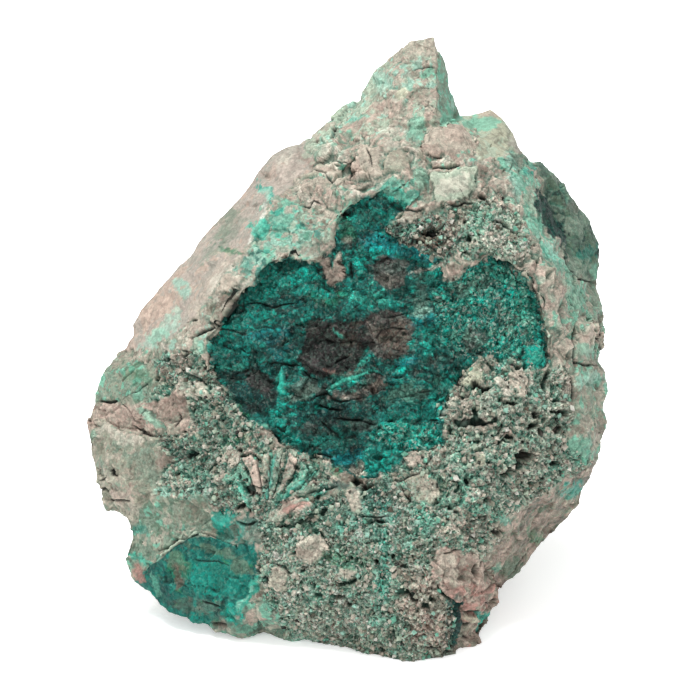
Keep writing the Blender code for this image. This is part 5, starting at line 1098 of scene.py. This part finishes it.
# Splinters of the fan: the softness of their colour, how strong it is, and the width of their sloping
# border.
SPLINTER_SOFT, SPLINTER_STRENGTH, SPLINTER_BORDER = 0.2, 0.75, 0.1
# Blocks: how much of their height and of the ground's own relief they have, and how much their faces tilt.
BLOCK_HEIGHT, BLOCK_RELIEF, BLOCK_TILT = 0.6, 0.3, 0.5

# Ridges: how much of the borders' wandering they follow, how far round them they are worked out, how ragged
# they are, the width of their border, the depth and the strength of the groove along it, how much of the
# ground's relief they keep, and how strong their colour is and how much of the painted shade it covers.
RIDGE_WANDER, RIDGE_MARGIN, RIDGE_RAGGED, RIDGE_BORDER = 0.3, 0.2, 0.12, 0.15
GROOVE_DEPTH, GROOVE_STRENGTH = 0.2, 0.7
RIDGE_RELIEF, RIDGE_STRENGTH, RIDGE_COVER = 0.5, 0.6, 0.8

# The shares of a crevice's width and depth that are cut, the softness of its sides as a share of its width,
# and the softness of a pit's border in millimetres.
CREVICE_WIDTH, CREVICE_DEPTH, CREVICE_SOFT = 0.55, 0.6, 0.35
PIT_SOFT = 0.35

# The height over the ground around it that makes a place stand wholly proud, in millimetres, and how many
# times that ground is evened out.
PROUD, EVENINGS = 0.2, 6
# How quickly the seam colour fills low places, and how much paler proud places and darker low places
# are painted, as highlight and shade.
SEAM_FILL, PAINTED_LIGHT_AND_SHADE = 1.3, 0.4
# The patches of mint and of blush in crumbly ground: their size in millimetres, how crisp and how strong
# they are, and how much rarer than half the ground each is.
CRUMB_SIZE, CRUMB_CRISP, CRUMB_STRENGTH = 4.0, 2.4, 0.5
CRUMB_MINT, CRUMB_BLUSH = 0.1, 0.2
# Paler and darker patches: their size in millimetres, how much the shards add to them, and the least and
# the most light of a colour that they leave.
SHADE_SIZE, SHADE_SHARDS = 3.2, 0.5
DARKEST, PALEST = 0.003, 0.9


class Skin:
    """The fine skin: its places, and the height and colour that each has."""

    def __init__(self, places, normals, carried):
        self.places = places
        self.normals = normals
        hidden, self.facet, self.jag = carried.T
        self.front = 1.0 - hidden
        self.seen = as_seen(places)[:, :2]
        drift = np.stack([cloud(places, WANDER_SIZE, 880 + 5 * axis, 4) for axis in range(2)], axis=1)
        self.drifted = self.seen + WANDER * drift
        self.height = np.zeros(len(places))
        self.dark = np.zeros(len(places))
        long = np.zeros(len(places), bool)
        for kind, soft, _, _, shape in ZONES:
            near, share = self.share(shape, soft, drifted=False)
            long[near[share > 0.5]] = GRITS[kind]["long"]
        warp = np.stack([waver(places, BEND_SIZE, 900 + axis) for axis in range(3)], axis=1)
        bent = places + BEND * warp
        bent[long] *= SQUEEZE
        self.shards = [Shards(bent, size, 20 + 4 * i) for i, size in enumerate(SHARD_SIZES)]
        self.fine = waver(places, FINE_SIZE, 66)
        # How ragged a border is at each place comes from the chance of the finer shards, and from a cloud.
        chips = self.shards[2].chance(150) + 0.8 * self.shards[3].chance(151) - 0.9
        self.ragged = 0.9 * chips + 0.8 * cloud(places, 1.3, 67, 3)

    def share(self, shape, soft, drifted=True):
        """Which places a shape reaches, and how much of it each has. A border that drifts is ragged rather
        than blurred."""
        seen = self.drifted if drifted else self.seen
        near = shape.near(seen, BORDER_REACH * soft)
        near = near[self.front[near] > 0.0]
        gap = shape.gap(seen[near])
        if drifted:
            gap += BORDER_RAGGED * soft * self.ragged[near]
            soft = BORDER_BLUR * soft + LEAST_BLUR
        return near, smooth(0.5 - gap / soft) * self.front[near]

    def lay(self, values, near, share, new):
        """Moves the values of some places towards new ones by their shares."""
        values[near] += (new - values[near]) * (share[:, None] if values.ndim > 1 else share)

    def even_out(self, near, share):
        """Brings the grit of some places half way to that of smooth stone."""
        for name, values in self.grit.items():
            self.lay(values, near, share, 0.5 * (values[near] + GRITS["smooth"][name]))

    def dig(self, near, share, depth, dark):
        """Cuts into the skin and paints shade into what is cut."""
        self.height[near] -= depth * share
        self.dark[near] = np.maximum(self.dark[near], dark * share)

    def mottle(self, near, colours, salt):
        """Patches of the colours: each place has its colour from the coarse or fine shard that it is in."""
        shares = np.cumsum([share for _, share in colours], dtype=float)
        shares /= shares[-1]
        pool = np.array([linear(name) for name, _ in colours])
        level = np.searchsorted(MOTTLE_STEPS, self.shards[2].chance(160, near))
        chance = np.choose(level, [shard.chance(salt, near) for shard in self.shards])
        crisp = pool[np.minimum(np.searchsorted(shares, chance), len(pool) - 1)]
        middle = pool.T @ np.diff(shares, prepend=0.0)
        return middle + MOTTLE_STRENGTH * (crisp - middle)

    def stained(self, name, near, salt):
        """A colour through which a little of the ground's own grain shows."""
        return linear(name) * (STAIN_DULLEST + STAIN_GRAIN * self.shards[2].chance(salt, near))[:, None]

    def lay_zones(self):
        """The ground's colours and how it breaks, zone by zone."""
        everywhere = np.arange(len(self.places))
        self.colour = self.mottle(everywhere, HOST_COLOURS, 70)
        self.seam_colour = np.tile(linear("mint"), (len(self.places), 1))
        worn = {name: value for name, value in GRITS["worn"].items() if name not in ("heights", "long")}
        self.grit = {name: np.full(len(self.places), float(value)) for name, value in worn.items()}
        self.heights = np.tile(GRITS["worn"]["heights"], (len(self.places), 1))
        for i, (kind, soft, seam, colours, shape) in enumerate(ZONES):
            near, share = self.share(shape, soft)
            self.lay(self.colour, near, share, self.mottle(near, colours, 71 + i))
            self.lay(self.seam_colour, near, share, linear(seam))
            self.lay(self.heights, near, share, np.array(GRITS[kind]["heights"]))
            for name, values in self.grit.items():
                self.lay(values, near, share, GRITS[kind][name])

    def lay_back(self):
        """Brown skin, stains and teal veins on the faces that the viewer can't see."""
        away = np.flatnonzero(self.front < 1.0)
        places, hidden = self.places[away], 1.0 - self.front[away]
        for size, crisp, rare, strength, colours, salt, colour_salt in BACK_PATCHES:
            share = strength * smooth(crisp * cloud(places, size, salt) - rare)
            self.lay(self.colour, away, share * hidden, self.mottle(away, colours, colour_salt))
        share = VEIN_STRENGTH * smooth(1.0 - VEIN_THINNESS * np.abs(cloud(places, VEIN_SIZE, 300, 4)))
        self.lay(self.colour, away, share * hidden, self.mottle(away, VEIN_COLOURS, 331))

    def lay_stains(self):
        """Stains and veins, one over the other."""
        for name, strength, soft, shape in STAINS:
            near, share = self.share(shape, soft)
            self.lay(self.colour, near, strength * share, self.stained(name, near, 140))
            if name in PLAIN_COLOURS:
                for kind in ("stain", "specks"):
                    self.lay(self.grit[kind], near, strength * share, PLAIN_GRIT)

    def chip(self):
        """Breaks the skin into tilted shards, coarse to fine, with cracks between some and pores where it is
        porous."""
        for i in range(len(SHARD_SIZES)):
            self.height += self.heights[:, i] * self.shards[i].plane(100 + 4 * i)
        for i, (depth, width) in enumerate(CRACKS):
            shards = self.shards[i]
            near = np.flatnonzero((shards.border < width) & (shards.chance(140 + i) < self.grit["cracks"]))
            self.dig(near, 1.0 - smooth(shards.border[near] / width), depth, CRACK_SHADE)
        near = np.flatnonzero((self.grit["pores"] > POROUS) & (self.front > 0.0))
        for size, depth, salt in PORES:
            level = cloud(self.places[near], size, salt, 2) - PORE_LEVEL + self.grit["pores"][near]
            self.dig(near, smooth(level / PORE_EDGE), depth, CUT_SHADE)
        self.height += self.grit["facets"] * self.facet + self.grit["jags"] * self.jag
        self.height += FINE_HEIGHT * self.grit["grain"] * self.fine

    def raise_blocks(self):
        """Blocks and the fan's splinters, with flat tilted faces."""
        for name, _, shape in FAN:
            near, share = self.share(shape, SPLINTER_SOFT)
            self.lay(self.colour, near, SPLINTER_STRENGTH * share, self.stained(name, near, 142))
        splinters = tuple((height, SPLINTER_BORDER, shape) for _, height, shape in FAN)
        for height, border, shape in BLOCKS + splinters:
            near, share = self.share(shape, border)
            # How the whole block tilts is chance, taken from the shard that its first place is in.
            tilt = np.array([self.shards[0].chance(500 + axis, near[:1]).sum() - 0.5 for axis in range(2)])
            slope = (self.seen[near] - (shape.low + shape.high) / 2.0) @ (BLOCK_TILT * tilt)
            top = BLOCK_HEIGHT * height + slope + BLOCK_RELIEF * self.height[near]
            self.lay(self.height, near, share, top)
            self.even_out(near, share)

    def raise_ridges(self):
        """Needles, bars and edges, each in a groove of painted shade. All the grooves are cut before a ridge
        is laid.
        """
        bent = self.seen + RIDGE_WANDER * (self.drifted - self.seen)
        ridges = []
        for height, width, name, *points in RIDGES:
            shape = line(width, *points)
            near = shape.near(bent, RIDGE_MARGIN)
            near = near[self.front[near] > 0.0]
            inside = -shape.gap(bent[near]) - RIDGE_RAGGED * self.ragged[near]
            groove = GROOVE_STRENGTH * smooth(1.0 - np.abs(inside) / RIDGE_BORDER) * self.front[near]
            self.dig(near, groove, GROOVE_DEPTH, GROOVE_SHADE)
            ridges.append((height, width, name, near, inside))
        for height, width, name, near, inside in ridges:
            share = smooth(inside / RIDGE_BORDER) * self.front[near]
            crest = np.clip(2.0 * inside / width, 0.0, 1.0)
            rise = height * (0.7 + 0.3 * crest)
            self.lay(self.height, near, share, RIDGE_RELIEF * self.height[near] + rise)
            # Paler along the crest, as a painted highlight, and paler or darker by chance.
            grain = 0.9 + 0.2 * crest + 0.5 * (self.shards[2].chance(141, near) - 0.5)
            self.lay(self.colour, near, RIDGE_STRENGTH * share, linear(name) * grain[:, None])
            self.lay(self.dark, near, RIDGE_COVER * share, 0.0)
            self.even_out(near, share)

    def cut(self):
        """Crevices and pits."""
        for depth, width, *points in CREVICES:
            shape = line(CREVICE_WIDTH * width, *points)
            near, share = self.share(shape, CREVICE_SOFT * width, drifted=False)
            self.dig(near, share, CREVICE_DEPTH * depth, CUT_SHADE)
        for depth, shape in PITS:
            near, share = self.share(shape, PIT_SOFT)
            self.dig(near, share, depth, CUT_SHADE)

    def shade(self, faces):
        """Chrysocolla fills the low places, shade is painted into what is cut and into low places, and edges
        that stand proud are painted paler, as a highlight."""
        ground = self.height.copy()
        for _ in range(EVENINGS):
            ground = neighbour_mean(ground, faces)
        lift = np.clip((self.height - ground) / PROUD, -1.0, 1.0)
        seam = smooth(-SEAM_FILL * lift) * self.grit["seam"] * self.front
        everywhere = np.arange(len(self.places))
        self.lay(self.colour, everywhere, seam, self.seam_colour)
        # Painted shade in what is cut, in the pit colour.
        self.lay(self.colour, everywhere, self.dark, linear("pit"))
        patch = cloud(self.places, CRUMB_SIZE, 620, 4)
        crumbly = CRUMB_STRENGTH * self.grit["stain"] * (self.grit["pores"] > POROUS)
        mint = crumbly * smooth(CRUMB_CRISP * patch - CRUMB_MINT)
        blush = crumbly * smooth(-CRUMB_CRISP * patch - CRUMB_BLUSH)
        self.lay(self.colour, everywhere, mint, linear("mint"))
        self.lay(self.colour, everywhere, blush, linear("blush"))
        # Paler and darker patches by chance, with a painted highlight on proud places and painted shade in
        # low ones.
        patch = cloud(self.places, SHADE_SIZE, 600, 5) + SHADE_SHARDS * self.shards[1].plane(610)
        shade = np.exp(self.grit["patchy"] * patch) * (1.0 + PAINTED_LIGHT_AND_SHADE * lift)
        self.colour = np.clip(self.colour * shade[:, None], DARKEST, PALEST)
        # How strong the pale specks with their painted glints, the painted shade of the hair cracks, the
        # grain and the stain are, none of them where shade is already painted.
        grit_and_painted_light = [self.grit[name] * (1.0 - self.dark) for name in ("specks", "hair_crack_shade", "grain", "stain")]
        self.grit_and_painted_light = np.stack(grit_and_painted_light, axis=1)

    def moved(self):
        """The places, each at its height. What is on the floor stays there, and nothing goes below it."""
        places = self.places + self.normals * self.height[:, None]
        places[:, 2] = np.maximum(places[:, 2], 0.0)
        on_floor = self.places[:, 2] < ON_FLOOR
        places[on_floor] = self.places[on_floor]
        return places


def mesh_object(name, places, faces, material, colour, grit_and_painted_light, normals=None):
    """A mesh object from millimetre places, with its colours in the tint attribute, and in a second
    attribute its grit with the strength of its painted glints and of the painted shade in its hair cracks."""
    used, faces = np.unique(faces, return_inverse=True)
    faces = faces.reshape(-1, 3)
    data = bpy.data.meshes.new(name)
    data.vertices.add(len(used))
    data.vertices.foreach_set("co", ((places[used] - BOX_MIDDLE) * MM).astype(np.float32).ravel())
    data.loops.add(faces.size)
    data.loops.foreach_set("vertex_index", faces.astype(np.int32).ravel())
    data.polygons.add(len(faces))
    data.polygons.foreach_set("loop_start", np.arange(0, faces.size, 3, dtype=np.int32))
    data.polygons.foreach_set("use_smooth", np.full(len(faces), normals is not None))
    data.update(calc_edges=True)
    colour = np.column_stack([colour, np.ones(len(colour))])
    for label, values in (("tint", colour), ("grit_and_painted_light", grit_and_painted_light)):
        layer = data.color_attributes.new(label, "FLOAT_COLOR", "POINT")
        layer.data.foreach_set("color", values[used].astype(np.float32).ravel())
    if normals is not None:
        data.normals_split_custom_set_from_vertices(normals[used])
    data.materials.append(material)
    obj = bpy.data.objects.new(name, data)
    bpy.context.scene.collection.objects.link(obj)
    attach(obj, "root")
    return obj


# ---------------------------------------------------------------- the stone's material
class Wiring:
    """Short ways to make the nodes of one material."""

    def __init__(self, name):
        self.material = bpy.data.materials.new(name)
        self.material.use_nodes = True
        self.nodes = self.material.node_tree.nodes
        self.links = self.material.node_tree.links
        self.shader = self.nodes["Principled BSDF"]

    def set(self, socket, value):
        """Gives a socket its value, or links it to the output that it comes from."""
        if hasattr(value, "is_output"):
            self.links.new(value, socket)
        else:
            socket.default_value = value

    def node(self, kind, inputs=(), **settings):
        made = self.nodes.new(kind)
        for name, value in settings.items():
            setattr(made, name, value)
        for name, value in dict(inputs).items():
            self.set(made.inputs[name], value)
        return made

    def math(self, operation, a, b):
        made = self.node("ShaderNodeMath", operation=operation)
        self.set(made.inputs[0], a)
        self.set(made.inputs[1], b)
        return made.outputs[0]

    def ramp(self, value, low, high, to_low, to_high):
        """The value carried from the range low..high to the range to_low..to_high."""
        inputs = {"Value": value, "From Min": low, "From Max": high, "To Min": to_low, "To Max": to_high}
        return self.node("ShaderNodeMapRange", inputs).outputs["Result"]

    def blend(self, share, colour, other):
        """The colour with a share of another, named one over it."""
        made = self.node("ShaderNodeMix", data_type="RGBA", blend_type="MIX")
        self.set(made.inputs[0], share)
        self.set(made.inputs[6], colour)
        self.set(made.inputs[7], (*linear(other), 1.0))
        return made.outputs[2]


# How many lumps of each kind of grain there are to a metre.
WARP_SCALE = 1500.0
CRYSTAL_SCALE = 3600.0
DUST_SCALE = 5200.0
WEB_SCALE = 700.0
HAIR_SCALE = 1150.0
# How far the warp moves the grain, and how high the grain stands, in metres.
WARP_REACH = 0.0004
BUMP_HEIGHT = 0.00018
# How rough the stone is, how much smoother and how much rougher single crystals are, how much light it
# throws back as a gloss, and how strong its relief is.
ROUGHNESS, SMOOTHER, ROUGHER = 0.62, 0.18, 0.14
GLOSS = 0.12
RELIEF = 0.6
# A crystal turns to chrysocolla and to a pale speck, partly a painted glint, as its chance rises through
# these levels, and to a hole, with painted shade in it, as it falls through the last ones.
GREEN_LEVELS, SPECK_LEVELS, HOLE_LEVELS = (0.62, 0.68), (0.86, 0.9), (0.19, 0.23)
# How wide the pale webs and the hair cracks with their painted shade are, as a share of their cells.
WEB_WIDTH, HAIR_WIDTH = 0.05, 0.08


def stone_material():
    """Broken stone: the tint attribute, with crystal grains, pale specks that are partly painted glints, and
    painted shade in hair cracks over it.
    """
    w = Wiring("broken stone")
    shader = w.shader
    shader.inputs["Metallic"].default_value = 0.0
    shader.inputs["Specular IOR Level"].default_value = GLOSS
    tint = w.node("ShaderNodeAttribute", attribute_name="tint").outputs["Color"]
    held = w.node("ShaderNodeAttribute", attribute_name="grit_and_painted_light")
    grit_and_painted_light = w.node("ShaderNodeSeparateColor", {"Color": held.outputs["Color"]})
    specks, hair_crack_shade, grain = (grit_and_painted_light.outputs[i] for i in range(3))
    stain = held.outputs["Alpha"]
    place = w.node("ShaderNodeTexCoord").outputs["Object"]
    warp = w.node("ShaderNodeTexNoise", {"Vector": place, "Scale": WARP_SCALE, "Detail": 2.0})
    shift = w.node("ShaderNodeVectorMath", operation="MULTIPLY_ADD")
    w.set(shift.inputs[0], warp.outputs["Color"])
    w.set(shift.inputs[1], (WARP_REACH, WARP_REACH, WARP_REACH))
    w.set(shift.inputs[2], place)
    bent = shift.outputs["Vector"]

    # The grains and a finer dust make the tint paler and darker, and some grains are chrysocolla.
    crystals = w.node("ShaderNodeTexVoronoi", {"Vector": bent, "Scale": CRYSTAL_SCALE})
    kind = w.node("ShaderNodeSeparateColor", {"Color": crystals.outputs["Color"]})
    first, second, third = (kind.outputs[i] for i in range(3))
    noise = {"Vector": place, "Scale": DUST_SCALE, "Detail": 3.0, "Roughness": 0.8}
    dust = w.node("ShaderNodeTexNoise", noise).outputs["Fac"]
    coarse = w.math("MULTIPLY", w.ramp(first, 0.0, 1.0, -0.5, 0.55), grain)
    fine = w.math("MULTIPLY", w.ramp(dust, 0.3, 0.7, -0.5, 0.5), grain)
    factor = w.math("ADD", w.math("ADD", coarse, fine), 1.0)
    green = w.math("MULTIPLY", w.ramp(third, *GREEN_LEVELS, 0.0, 0.6), stain)
    scaled = w.node("ShaderNodeVectorMath", {"Scale": factor}, operation="SCALE")
    w.set(scaled.inputs[0], w.blend(green, tint, "mint"))
    colour = scaled.outputs["Vector"]

    # Pale specks, partly painted glints, and pale webs; then painted shade in hair cracks and holes.
    speck = w.math("MULTIPLY", w.ramp(second, *SPECK_LEVELS, 0.0, 0.75), specks)
    colour = w.blend(speck, colour, "white")
    webs = w.node("ShaderNodeTexVoronoi", {"Vector": bent, "Scale": WEB_SCALE}, feature="DISTANCE_TO_EDGE")
    pale = w.math("MULTIPLY", w.ramp(webs.outputs["Distance"], 0.0, WEB_WIDTH, 0.8, 0.0), specks)
    colour = w.blend(pale, colour, "pale mint")
    hairs = w.node("ShaderNodeTexVoronoi", {"Vector": bent, "Scale": HAIR_SCALE}, feature="DISTANCE_TO_EDGE")
    hair = w.math("MULTIPLY", w.ramp(hairs.outputs["Distance"], 0.0, HAIR_WIDTH, 0.9, 0.0), hair_crack_shade)
    pocked = w.math("MULTIPLY", stain, grain)
    hole = w.math("MULTIPLY", w.ramp(second, *HOLE_LEVELS, 0.95, 0.0), pocked)
    sunk = w.math("MAXIMUM", hair, hole)
    w.set(shader.inputs["Base Color"], w.blend(sunk, colour, "pit"))

    w.set(shader.inputs["Roughness"], w.ramp(third, 0.0, 1.0, ROUGHNESS - SMOOTHER, ROUGHNESS + ROUGHER))
    rise = w.math("ADD", w.math("MULTIPLY", first, 0.8), dust)
    rise = w.math("SUBTRACT", rise, w.math("MULTIPLY", sunk, 1.4))
    bump = w.node("ShaderNodeBump", {"Distance": BUMP_HEIGHT, "Height": rise})
    w.set(bump.inputs["Strength"], w.math("MULTIPLY", grain, RELIEF))
    w.set(shader.inputs["Normal"], bump.outputs["Normal"])
    return w.material


# ---------------------------------------------------------------- the grains
# Loose-looking grains in the crumbly ground: how many of its places have one, their least radius and how
# much more the largest ones have, in millimetres, how rare large ones are, and their colours with their
# shares.
GRAIN_CHANCE = 0.08
GRAIN_RADIUS, GRAIN_GROWTH, GRAIN_RARITY = 0.1, 0.38, 6
GRAIN_COLOURS = (
    ("cream", 16), ("beige", 20), ("pebble", 18), ("lichen", 14), ("white", 6), ("pale mint", 8),
    ("mint", 8), ("umber", 5), ("soot", 5),
)
# Grains lie where there are more pores than this, in full view, and not in what is cut.
GRAIN_PORES, GRAIN_FRONT, GRAIN_DARK = 0.05, 0.9, 0.5
# How far a grain's middle is above the skin, as a share of its radius, and how near the floor its corners
# come, in millimetres.
GRAIN_LIFT, GRAIN_FLOOR = 0.3, 0.02
# How a grain takes pale specks with their painted glints, the painted shade of hair cracks, grain and stain.
GRAIN_GRIT_AND_PAINTED_LIGHT = (0.1, 0.2, 0.4, 0.2)
# A body with eight faces, whose corners are in the order of the grain's six axes.
OCTAHEDRON = np.array(
    [(0, 1, 2), (1, 3, 2), (3, 4, 2), (4, 0, 2), (1, 0, 5), (3, 1, 5), (4, 3, 5), (0, 4, 5)]
)


def make_grains(skin, moved, material):
    """Angular grains, each an uneven eight-faced body, sunk by about half in the crumbly ground."""
    cells = own_cells(skin.places)
    able = (skin.grit["pores"] > GRAIN_PORES) & (skin.front > GRAIN_FRONT) & (skin.dark < GRAIN_DARK)
    chosen = np.flatnonzero(able & (scramble(cells, 700) < GRAIN_CHANCE))
    cells = cells[chosen]

    def chance(salt):
        return scramble(cells, salt)

    def direction(salt):
        way = np.stack([chance(salt + axis) - 0.5 for axis in range(3)], axis=1) + 1e-6
        return way / np.linalg.norm(way, axis=1)[:, None]

    radius = GRAIN_RADIUS + GRAIN_GROWTH * chance(701) ** GRAIN_RARITY
    first = direction(710)
    second = np.cross(first, direction(720))
    second /= np.linalg.norm(second, axis=1)[:, None]
    third = np.cross(first, second)
    middle = moved[chosen] + skin.normals[chosen] * (GRAIN_LIFT * radius)[:, None]
    corners = []
    for number, axis in enumerate((first, second, third, -first, -second, -third)):
        reach = radius * (0.65 + 0.7 * chance(730 + number))
        corners.append(middle + axis * reach[:, None])
    corners = np.concatenate(corners)
    corners[:, 2] = np.maximum(corners[:, 2], GRAIN_FLOOR)
    count = len(chosen)
    faces = (OCTAHEDRON[:, :, None] * count + np.arange(count)).transpose(2, 0, 1).reshape(-1, 3)
    shares = np.cumsum([share for _, share in GRAIN_COLOURS], dtype=float)
    pool = np.array([linear(name) for name, _ in GRAIN_COLOURS])
    kind = np.minimum(np.searchsorted(shares / shares[-1], chance(740)), len(pool) - 1)
    colour = np.tile(pool[kind], (6, 1))
    grit_and_painted_light = np.tile(GRAIN_GRIT_AND_PAINTED_LIGHT, (len(corners), 1))
    mesh_object("grains", corners, faces, material, colour, grit_and_painted_light)


# ---------------------------------------------------------------- the stone
def make_stone():
    """The whole skin, in its pieces, and the grains on it."""
    places, faces = read_solid()
    tree = BVHTree.FromPolygons([Vector(place) for place in places], faces.tolist())
    facet = FACET * (scramble(own_cells(places), 5) - 0.5)
    carried = np.stack([hiddenness(places, tree), facet, np.zeros(len(places))], axis=1)
    for i in range(MOST_SPLITS):
        places, carried, faces = split_long_sides(places, carried, faces)
        # What is hidden is looked up once more, when the triangles are small enough to tell it well.
        if i == 1:
            carried[:, 0] = hiddenness(places, tree)
    skin = Skin(places, normals_of(places, faces), carried)
    skin.lay_zones()
    skin.lay_back()
    skin.lay_stains()
    skin.chip()
    skin.raise_blocks()
    skin.raise_ridges()
    skin.cut()
    skin.shade(faces)
    material = stone_material()
    moved = skin.moved()
    normals = normals_of(moved, faces)
    middle = skin.seen[faces].mean(axis=1)
    far = carried[faces, 0].min(axis=1) > 0.99
    hollow = ~far & (HOLLOW.gap(middle) < 0.0)
    rest = ~(far | hollow)
    right, upper = (middle > PARTING).T
    pieces = (
        ("skin_far_side", far), ("skin_hollow", hollow),
        ("skin_upper_left", rest & upper & ~right), ("skin_upper_right", rest & upper & right),
        ("skin_lower_left", rest & ~upper & ~right), ("skin_lower_right", rest & ~upper & right),
    )
    for name, which in pieces:
        obj = mesh_object(name, moved, faces[which], material, skin.colour, skin.grit_and_painted_light, normals)
        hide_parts(NODE)
    make_grains(skin, moved, material)


# ---------------------------------------------------------------- the setting
# The pale floor: its size in metres, its colour, roughness and gloss, and how much it is lit from within,
# as a light table is.
FLOOR_SIZE = 6.0
FLOOR_COLOUR = (0.93, 0.93, 0.93, 1.0)
FLOOR_ROUGHNESS, FLOOR_GLOSS, FLOOR_GLOW = 0.9, 0.1, 0.4
WHITE = (1.0, 1.0, 1.0, 1.0)

# The lights: where each is and how wide, in metres, and its power in watts. They all shine at one place.
LIGHTS = (
    ("top light", (-0.13, -0.05, 0.83), 0.5, 9.5),
    ("front light", (-0.12, -0.78, 0.55), 0.6, 2.2),
)
LIT_PLACE = (0.0, 0.0, 0.03)
ROOM_LIGHT = 0.85

# The camera's sensor in millimetres, and how far it sees in metres.
SENSOR = 36.0
FURTHEST = 20.0


def make_setting():
    """A pale floor, a soft light from above and in front, a white room, and the camera."""
    scene = bpy.context.scene
    bpy.ops.mesh.primitive_plane_add(size=FLOOR_SIZE, location=(0.0, 0.0, 0.0))
    floor = bpy.context.object
    floor.name = "floor"
    material = bpy.data.materials.new("pale floor")
    material.use_nodes = True
    shader = material.node_tree.nodes["Principled BSDF"]
    shader.inputs["Base Color"].default_value = FLOOR_COLOUR
    shader.inputs["Roughness"].default_value = FLOOR_ROUGHNESS
    shader.inputs["Specular IOR Level"].default_value = FLOOR_GLOSS
    shader.inputs["Emission Color"].default_value = WHITE
    shader.inputs["Emission Strength"].default_value = FLOOR_GLOW
    floor.data.materials.append(material)

    for name, place, width, power in LIGHTS:
        lamp = bpy.data.lights.new(name, "AREA")
        lamp.shape = "DISK"
        lamp.size = width
        lamp.energy = power
        obj = bpy.data.objects.new(name, lamp)
        obj.location = place
        obj.rotation_euler = (Vector(LIT_PLACE) - Vector(place)).to_track_quat("-Z", "Y").to_euler()
        scene.collection.objects.link(obj)

    world = bpy.data.worlds.new("white room")
    world.use_nodes = True
    world.node_tree.nodes["Background"].inputs["Color"].default_value = WHITE
    world.node_tree.nodes["Background"].inputs["Strength"].default_value = ROOM_LIGHT
    scene.world = world
    scene.view_settings.view_transform = "Standard"

    camera = bpy.data.cameras.new("camera")
    camera.sensor_width = SENSOR
    camera.lens = SENSOR * VIEW_DISTANCE / VIEW_WIDTH
    camera.clip_end = FURTHEST
    obj = bpy.data.objects.new("camera", camera)
    obj.location = Vector((eye() - BOX_MIDDLE) * MM)
    obj.rotation_euler = (math.pi / 2.0 - VIEW_TILT, 0.0, 0.0)
    scene.collection.objects.link(obj)
    scene.camera = obj


make_setting()
make_stone()

bpy.context.view_layer.update()
